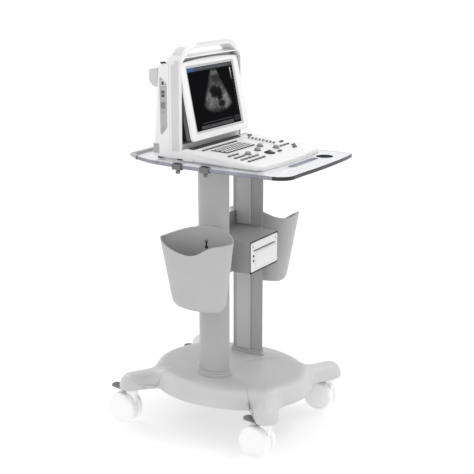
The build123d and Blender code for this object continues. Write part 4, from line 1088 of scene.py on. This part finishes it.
def lcd_picture():
    """A lit display: header and footer bars, a grey scale, and a speckled sector scan of soft tissue."""
    material = bpy.data.materials.new("lcd_picture")
    n = Nodes(material)
    up = Vector(SCREEN_UP)
    origin = up.dot(Vector(SCREEN_CENTRE) * MM)
    # u and v run from -1 to 1 across and up the picture
    u = n.mul(n.along((1, 0, 0)), 1 / 0.123)
    v = n.mul(n.minus(n.along(tuple(up)), origin), 1 / 0.0922)

    def inside(value, low, high, soft=0.004):
        rise = n.ramp(value, low - soft, low + soft)
        fall = n.ramp(value, high - soft, high + soft, 1.0, 0.0)
        return n.mul(rise, fall)

    def window(u0, u1, v0, v1, soft=0.004):
        return n.mul(inside(u, u0, u1, soft), inside(v, v0, v1, soft))

    flat = n.flat_point(u, v)

    # sector scan: distance and angle from the probe's centre above the picture
    apex_u, apex_v = 0.13, 1.16
    du = n.mul(n.minus(u, apex_u), 1.334)
    dv = n.minus(apex_v, v)
    radius = n.math("SQRT", n.plus(n.mul(du, du), n.mul(dv, dv)))
    angle = n.math("ARCTAN2", du, dv)
    sector = n.mul(inside(radius, 0.38, 1.66, 0.07), inside(angle, -0.53, 0.47, 0.05))
    polar = n.flat_point(n.mul(angle, 9.0), n.mul(radius, 26.0))
    speckle = n.ramp(n.noise(5.2, 5.0, 0.75, polar), 0.30, 0.78, 0.05, 1.0)
    clumps = n.ramp(n.noise(3.1, 4.0, 0.62, flat, 0.6), 0.42, 0.68)
    near = n.ramp(radius, 0.42, 0.54, 1.0, 0.10)
    deep = n.ramp(radius, 1.05, 1.45, 0.25, 1.0, smooth=True)
    deep = n.mul(deep, n.ramp(radius, 1.66, 1.78, 1.0, 0.45))
    left_lobe = n.ramp(angle, -0.10, -0.34, 0.15, 1.0, smooth=True)
    right_lobe = n.ramp(angle, 0.04, 0.26, 0.15, 1.0, smooth=True)
    lobes = n.math("MAXIMUM", left_lobe, right_lobe)

    def blob(bu, bv, ru, rv, soft=0.25):
        a = n.mul(n.minus(u, bu), 1 / ru)
        b = n.mul(n.minus(v, bv), 1 / rv)
        warp = n.mul(n.minus(n.noise(5.5, 2.0, 0.5, flat), 0.5), 0.9)
        d = n.plus(n.math("SQRT", n.plus(n.mul(a, a), n.mul(b, b))), warp)
        return n.ramp(d, 1 + soft, 1 - soft, 0.0, 1.0)

    cavity = n.math("MAXIMUM", blob(0.00, 0.12, 0.17, 0.18), blob(0.22, 0.02, 0.12, 0.22))
    cavity = n.math("MAXIMUM", cavity, blob(0.26, -0.28, 0.13, 0.10))
    walls = n.minus(blob(0.13, -0.02, 0.42, 0.36, 0.5), n.mul(cavity, 1.3))
    strands = n.noise(4.6, 3.0, 0.5, flat, 1.6)
    web = n.mul(n.ramp(strands, 0.47, 0.5), n.ramp(strands, 0.5, 0.55, 1.0, 0.0))
    tissue = n.plus(n.mul(deep, n.mul(lobes, n.plus(clumps, 0.35))),
                    n.mul(n.math("MAXIMUM", walls, 0.0), n.plus(n.mul(web, 1.1), 0.22)))
    haze = n.mul(n.ramp(radius, 0.5, 1.1, 0.22, 0.16), clumps)
    tissue = n.plus(n.plus(tissue, haze), n.mul(near, inside(angle, -0.42, 0.42, 0.1)))
    tissue = n.mul(tissue, n.minus(1.0, n.mul(cavity, 0.85)))
    scan = n.mul(n.mul(n.mul(tissue, speckle), sector), 0.44)

    # header and footer bars, grey scale, ruler and a line box
    header = n.mix(n.ramp(u, -0.80, -0.60), (0.045, 0.12, 0.30, 1), (0.07, 0.075, 0.085, 1))
    dashes = n.ramp(n.noise(60.0, 1.0, 0.5, flat), 0.56, 0.6)
    header = n.mix(n.mul(dashes, window(-0.95, 0.9, 0.915, 0.955)), header, (0.24, 0.24, 0.26, 1))
    picture = n.mix(window(-1.0, 1.0, 0.87, 1.0), (0.0006, 0.0006, 0.0008, 1), header)
    picture = n.mix(scan, picture, (0.78, 0.78, 0.78, 1))
    scale_bar = n.mul(window(0.855, 0.885, 0.40, 0.82, 0.006), n.ramp(v, 0.40, 0.82, 0.05, 1.0))
    picture = n.mix(scale_bar, picture, (0.85, 0.85, 0.85, 1))
    ticks = n.ramp(n.math("FRACT", n.mul(v, 9.0)), 0.84, 0.86)
    rule = n.mul(window(0.915, 0.94, -0.62, 0.84), ticks)
    picture = n.mix(n.mul(rule, 0.5), picture, (0.5, 0.5, 0.5, 1))
    footer = n.mix(n.mul(dashes, 0.8), (0.045, 0.045, 0.048, 1), (0.20, 0.20, 0.20, 1))
    picture = n.mix(window(-0.78, 0.66, -0.965, -0.86), picture, footer)
    picture = n.mix(window(-0.70, 0.66, -0.80, -0.775), picture, (0.05, 0.05, 0.055, 1))
    box_line = n.mul(window(0.72, 0.97, -0.93, -0.76), dashes)
    picture = n.mix(n.mul(box_line, 0.5), picture, (0.3, 0.3, 0.32, 1))

    n.set(Base_Color=(0.0015, 0.0015, 0.002, 1), Emission_Strength=1.0, IOR=1.06)
    n.link(picture, n.shader.inputs["Emission Color"])
    n.link(n.ramp(n.noise(40.0, 3.0, 0.6), 0.3, 0.7, 0.16, 0.26), n.shader.inputs["Roughness"])
    n.bump(n.noise(1500.0, 2.0), 0.02, 0.00005)
    return material


# ------------------------------------------------------------ control panel

SLOPE = math.atan2(24, 268)
PANEL_Y, PANEL_Z = 62, 882                  # rear end of the panel's sloping top
PANEL = axes((0, PANEL_Y, PANEL_Z), (1, 0, 0), (0, math.cos(SLOPE), math.sin(SLOPE)))
PANEL_UP = Vector((0, -math.sin(SLOPE), math.cos(SLOPE)))
PANEL_SIDE = Vector((1, 0, 0))
PANEL_FORE = PANEL_UP.cross(PANEL_SIDE)
# keys: x, plan y, width, depth
FUNCTION_KEYS = [(-140 + 17.5 * i, 7, 13, 5) for i in range(11)]
LETTER_KEYS = [(-118 + 13.4 * i + 3.2 * row, -12 - 13 * row, 10.6, 10) for row in range(4) for i in range(12)]
CONTROL_KEYS = ([(-142 + 20 * i, -82, 14, 6.5) for i in range(3)] + [(-146 + 20 * i, -105, 14,
                                                                      6.5) for i in range(3)]
                + [(-148 + 20 * i, -128, 14, 6.5) for i in range(5)]
                + [(-148 + 20 * i, -151, 14, 6.5) for i in range(5)]
                + [(96 + 20 * i, -116, 13, 6.5) for i in range(3)])
OVAL_KEYS = [(144, 22, 20, 7), (147, -88, 20, 7), (118, -150, 20, 8), (34, -146, 18, 8), (140, -134, 18, 7)]
KNOBS = {"gain_knob": (42, -74), "depth_knob": (-10, -96), "menu_knob": (63, -117), "zoom_knob": (-76, -103)}
SLIDER_ROWS = [5 - 12.5 * i for i in range(8)]
BALL = (-8, -136)
SLIDER_X = 112
REAR_Y, SPLIT = 30.6, 12.4                  # end of the panel before its hinge, and depth of its top shell
KEY_GAP = 0.75


def on_panel(y):
    """A plan Y as the panel's own Y."""
    return (y - PANEL_Y) / math.cos(SLOPE)


def panel_point(x, y):
    """A plan point as a point in mm on the panel's top."""
    return PANEL @ Vector((x * MM, on_panel(y) * MM, 0)) / MM


def panel_spot(centre, height, radius, turn):
    return tuple(centre + PANEL_UP * height + (PANEL_SIDE * math.cos(turn) + PANEL_FORE * math.sin(turn)) * radius)


def key_well(x, y, wide, deep):
    """The outline of the opening round one key."""
    py, a, b = on_panel(y), wide / 2 + KEY_GAP, deep / 2 + KEY_GAP
    return rectangle(x - a, x + a, py - b, py + b, min(wide, deep) * 0.3, 3)


def slider_line(y, a, b, radius):
    py = on_panel(y)
    return rectangle(SLIDER_X - a, SLIDER_X + a, py - b, py + b, radius, 3)


def panel_line(inset, flat=False):
    """The panel's outline: own coordinates, or plan coordinates if flat."""
    rear, front = 173.4 - inset, 184 - inset
    y_front = -206 + inset
    bow = [(x, y_front - 12 * (1 - (x / 158) ** 2)) for x in (-132, -88, -44, 0, 44, 88, 132)]
    line = [(-front, y_front)] + bow + [(front, y_front), (rear, REAR_Y - inset), (-rear, REAR_Y - inset)]
    line = rounded(line, [26] + [0] * 7 + [26, 3, 3], 8)
    return line if flat else [(x, on_panel(y)) for x, y in line]


def keycap(x, y, wide, deep):
    """One key: straight skirt, rounded shoulder and a slightly hollow top."""
    py = on_panel(y)

    def line(inset):
        r = max(min(wide, deep) * 0.3 - inset * 0.3, 0.4)
        return rectangle(x - wide / 2 + inset, x + wide / 2 - inset, py - deep / 2 + inset,
                         py + deep / 2 - inset, r, 3)

    levels = [(line(0), -3), (line(0), 1.1), (line(0.15), 1.9), (line(0.55), 2.6), (line(1.0), 2.95),
              (line(1.4), 3), (line(min(wide, deep) * 0.36), 2.75)]
    return loft(local_rings(PANEL, levels))


def keyboard():
    section = [(0.7, -SPLIT), (0, -SPLIT + 0.9), (0, -3.4), (0.5, -1.5), (1.6, -0.45), (3.4, 0), (6.6, 0),
               (7.8, -0.7), (8.2, -1.6), (8.2, -SPLIT)]
    rim = loft(local_rings(PANEL, [(panel_line(i), h) for i, h in section]), wrap=True)
    ball_y = on_panel(BALL[1])
    wells = [key_well(*key) for key in FUNCTION_KEYS + LETTER_KEYS + CONTROL_KEYS + OVAL_KEYS]
    wells += [slider_line(y, 17, 1.3, 1.2) for y in SLIDER_ROWS]
    wells.append(ring(BALL[0], ball_y, 12.35, 40))
    parts = [rim, plate([panel_line(8.3)] + wells, -9, -0.8, 0.3, PANEL, steps=2)]
    ear = [(24, 847)] + half_circle(HINGE_Y, HINGE_Z, 17.5, -math.pi / 2, 24) + [(24, 878.2)]
    for side in SIDES:
        parts.append(plate([ear], -6.8, 6.8, 2.2, side_plane(side * 165.7)))
    add("panel_top_shell", join(parts), "keyboard", WHITE_SLOT, "keyboard_top_shell", angle=36)
    # dark plate between the letter keys: painted shade
    reach = [(-125, -5.5), (-125 + 3.2 * 3, -57.5), (46, -57.5), (36.5, -5.5)]
    bed_line = rounded([(x, on_panel(y)) for x, y in reach], 3)
    bed = plate([bed_line] + [key_well(*key) for key in LETTER_KEYS], -0.9, -0.35, 0.1, PANEL, steps=2)
    add("letter_key_painted_shade_plate", bed, "keyboard", "dark_plastic", materials=[KEY_BED_PAINTED_SHADE])
    # dark plate under the key wells, knob seats and ball collar: painted shade
    parts = [plate([panel_line(8.4), ring(BALL[0], ball_y, 12.5, 40)], -10.2, -8.6, 0, PANEL)]
    seat = [(0, -2), (10.6, -2), (10.8, -0.6), (10.2, 0.1), (9.4, 0.2), (0, 0.2)]
    parts += [lathe(seat, panel_point(x, y), PANEL_UP, 40) for x, y in KNOBS.values()]
    collar = [(12.5, -3), (16.6, -3), (16.8, -0.5), (16.2, 0.6), (15, 1.0), (13.6, 0.9), (12.7, 0.3),
              (12.5, -0.6)]
    centre = panel_point(*BALL)
    parts.append(loft([[panel_spot(centre, h, r, t) for t in turns(48)] for r, h in collar], wrap=True))
    add("panel_wells", join(parts), "keyboard", "dark_plastic", materials=[GAP_PAINTED_SHADE], angle=40)

    def split_z(y):
        return PANEL_Z + (y - PANEL_Y) * math.tan(SLOPE) - (SPLIT + 0.5) / math.cos(SLOPE)

    low, rings = 845.6, []
    for u, inset in ((0, 6), (0.02, 4.6), (0.10, 2.6), (0.25, 1.3), (0.5, 0.6), (0.92, 0.6), (1.0, 1.4)):
        rings.append([(x, y, low + (split_z(y) - low) * u) for x, y in panel_line(inset, flat=True)])
    add("panel_bottom_shell", loft(rings), "keyboard", WHITE_SLOT, "keyboard_bottom_shell", angle=36)


def panel_hinge():
    """The barrel, with a groove near its right end, and the bar that joins it to the panel."""
    profile = [(HINGE_BORE, -116), (15, -116), (16.2, -115), (HINGE_R, -113.6), (HINGE_R, 94), (16.2, 94.6),
               (HINGE_R, 95.2), (HINGE_R, 113.6), (16.2, 115), (15, 116), (HINGE_BORE, 116)]
    barrel = loft(x_rings(profile, HINGE_Y, HINGE_Z), wrap=True)
    bar = plate([rectangle(-157, 94, 866, 877.6, 4.5)], -42, -24.4, 3.0, FRONT_VIEW)
    add("panel_hinge_bar", join([barrel, bar]), "keyboard", "hinge_grey", "keyboard_hinge_barrel", angle=40)


def keys():
    for name, group, slot in (("function_keys", FUNCTION_KEYS, "key_grey"),
                              ("letter_keys", LETTER_KEYS, "key_grey"),
                              ("control_keys", CONTROL_KEYS, "key_grey"),
                              ("oval_keys", OVAL_KEYS, "dark_plastic")):
        caps = join([keycap(*key) for key in group])
        # the key sides take painted shade
        paint(caps, lambda centre, normal: normal.dot(PANEL_UP) < 0.55)
        finish = KEY_LIGHT if name == "letter_keys" else MAT[slot]
        add(f"{name}_caps", caps, name, slot, name, materials=[finish, KEY_BED_PAINTED_SHADE], angle=35)
    tabs = []
    for y in SLIDER_ROWS:
        tab = [(slider_line(y, 3.5, 3, 1), 0.2), (slider_line(y, 3.3, 2.8, 1), 3.8),
               (slider_line(y, 2.2, 2.3, 1), 5.0)]
        stem = [(slider_line(y, 2.5, 0.9, 0.4), h) for h in (-6, 0.6)]
        tabs += [loft(local_rings(PANEL, tab)), loft(local_rings(PANEL, stem))]
    add("gain_slider_tabs", join(tabs), "gain_sliders", "key_grey", "gain_sliders", angle=35)
    for name, (x, y) in KNOBS.items():
        knob(name, panel_point(x, y))
    ball()


def knob(name, centre):
    """A cap with a ribbed grip on its shaft; the profile is (radius, height, depth of the ribs)."""
    rings = []
    for r, h, grip in ((0.1, 0.5, 0), (8.7, 0.5, 0), (9, 0.9, 0), (9, 1.5, 0), (8.4, 1.9, 0.3), (8.2, 2.4, 1),
                       (8.0, 5.8, 1), (7.5, 6.6, 0.5), (6.7, 7, 0), (5.6, 6.9, 0), (4.8, 6.4, 0),
                       (0.1, 6.3, 0)):
        rings.append([panel_spot(centre, h, r - grip * 0.28 * (i % 4 < 2),
                                 t) for i, t in enumerate(turns(96))])
    shaft = rod(3, -8, 1, centre, PANEL_UP, 20)
    add(f"{name}_cap", join([loft(rings), shaft]), name, "knob_grey", name, angle=35)


def ball():
    mesh = bpy.data.meshes.new("ball")
    bm = bmesh.new()
    bmesh.ops.create_icosphere(bm, subdivisions=4, radius=12 * MM)
    bm.to_mesh(mesh)
    bm.free()
    mesh.transform(Matrix.Translation(PANEL @ Vector((BALL[0] * MM, on_panel(BALL[1]) * MM, -4 * MM))))
    add("trackball_sphere", mesh, "trackball", "ball_dark", "trackball", angle=60, weighted=False)


# ------------------------------------------------------------ build

base_cover()
for corner_name, (across, ahead) in CASTERS.items():
    caster(corner_name, across * LEG_TIP[0], ahead * LEG_TIP[1])
columns()
tray()
tray_clips()
basket(-1, "basket_left")
basket(1, "basket_right")
fasteners()
printer()
front_frame()
hinge_bosses()
main_housing()
side_ports()
probe_socket()
rubber_feet()
screen()
keyboard()
panel_hinge()
keys()

slot_of = {row["node"]: row["material_slot"] for row in frame["record"]["subparts"]}
for node_name, node in frame["nodes"].items():
    node.data.materials.clear()
    # the screen's back cover is darkened: painted shade on its shaded side
    node.data.materials.append(BACK_PAINTED_SHADE if node_name == "screen_back_cover" else MAT[slot_of[node_name]])


# ------------------------------------------------------------ camera, floor and light

def studio_floor():
    """A lit white sweep that still takes soft shadows."""
    material = bpy.data.materials.new("floor_white")
    n = Nodes(material)
    n.set(Roughness=0.9, Specular_IOR_Level=0.0, Emission_Color=(1, 1, 1, 1), Emission_Strength=0.62)
    n.link(n.mix(n.noise(3.0, 3.0), (0.42, 0.42, 0.42, 1), (0.44, 0.44, 0.44, 1)),
           n.shader.inputs["Base Color"])
    return material


AZIMUTH, PITCH = math.radians(-58.65), math.radians(15.07)
eye = Vector((-2.7515, -1.6959, 1.4590))
look = -Vector((math.sin(AZIMUTH) * math.cos(PITCH), -math.cos(AZIMUTH) * math.cos(PITCH), math.sin(PITCH)))
camera_data = bpy.data.cameras.new("camera")
camera_data.lens = 83.56
camera_data.sensor_width = 36.0
camera = new_object("camera", camera_data)
camera.location = eye
camera.rotation_euler = look.to_track_quat("-Z", "Y").to_euler()
bpy.context.scene.camera = camera

FLOOR_REACH = 90000
floor_corners = [(x, y, 0) for x, y in rectangle(-FLOOR_REACH, FLOOR_REACH, -FLOOR_REACH, FLOOR_REACH, 0)]
floor = new_object("floor", mesh_of(floor_corners, [(0, 1, 2, 3)]))
floor.data.materials.append(studio_floor())

world = bpy.data.worlds.new("studio")
bpy.context.scene.world = world
world.use_nodes = True
world.node_tree.nodes["Background"].inputs["Color"].default_value = (1, 1, 1, 1)
world.node_tree.nodes["Background"].inputs["Strength"].default_value = 0.93


def area_light(name, place, target, size, power):
    data = bpy.data.lights.new(name, "AREA")
    data.shape = "DISK"
    data.size = size
    data.energy = power
    light = new_object(name, data)
    light.location = place
    light.rotation_euler = (Vector(target) - Vector(place)).to_track_quat("-Z", "Y").to_euler()


area_light("key_light", (1.2, -1.5, 3.2), (0, 0, 0.6), 1.4, 26)
area_light("rear_light", (0.6, 2.6, 2.6), (0, 0, 0.4), 1.6, 22)
bpy.context.scene.view_settings.view_transform = "Standard"
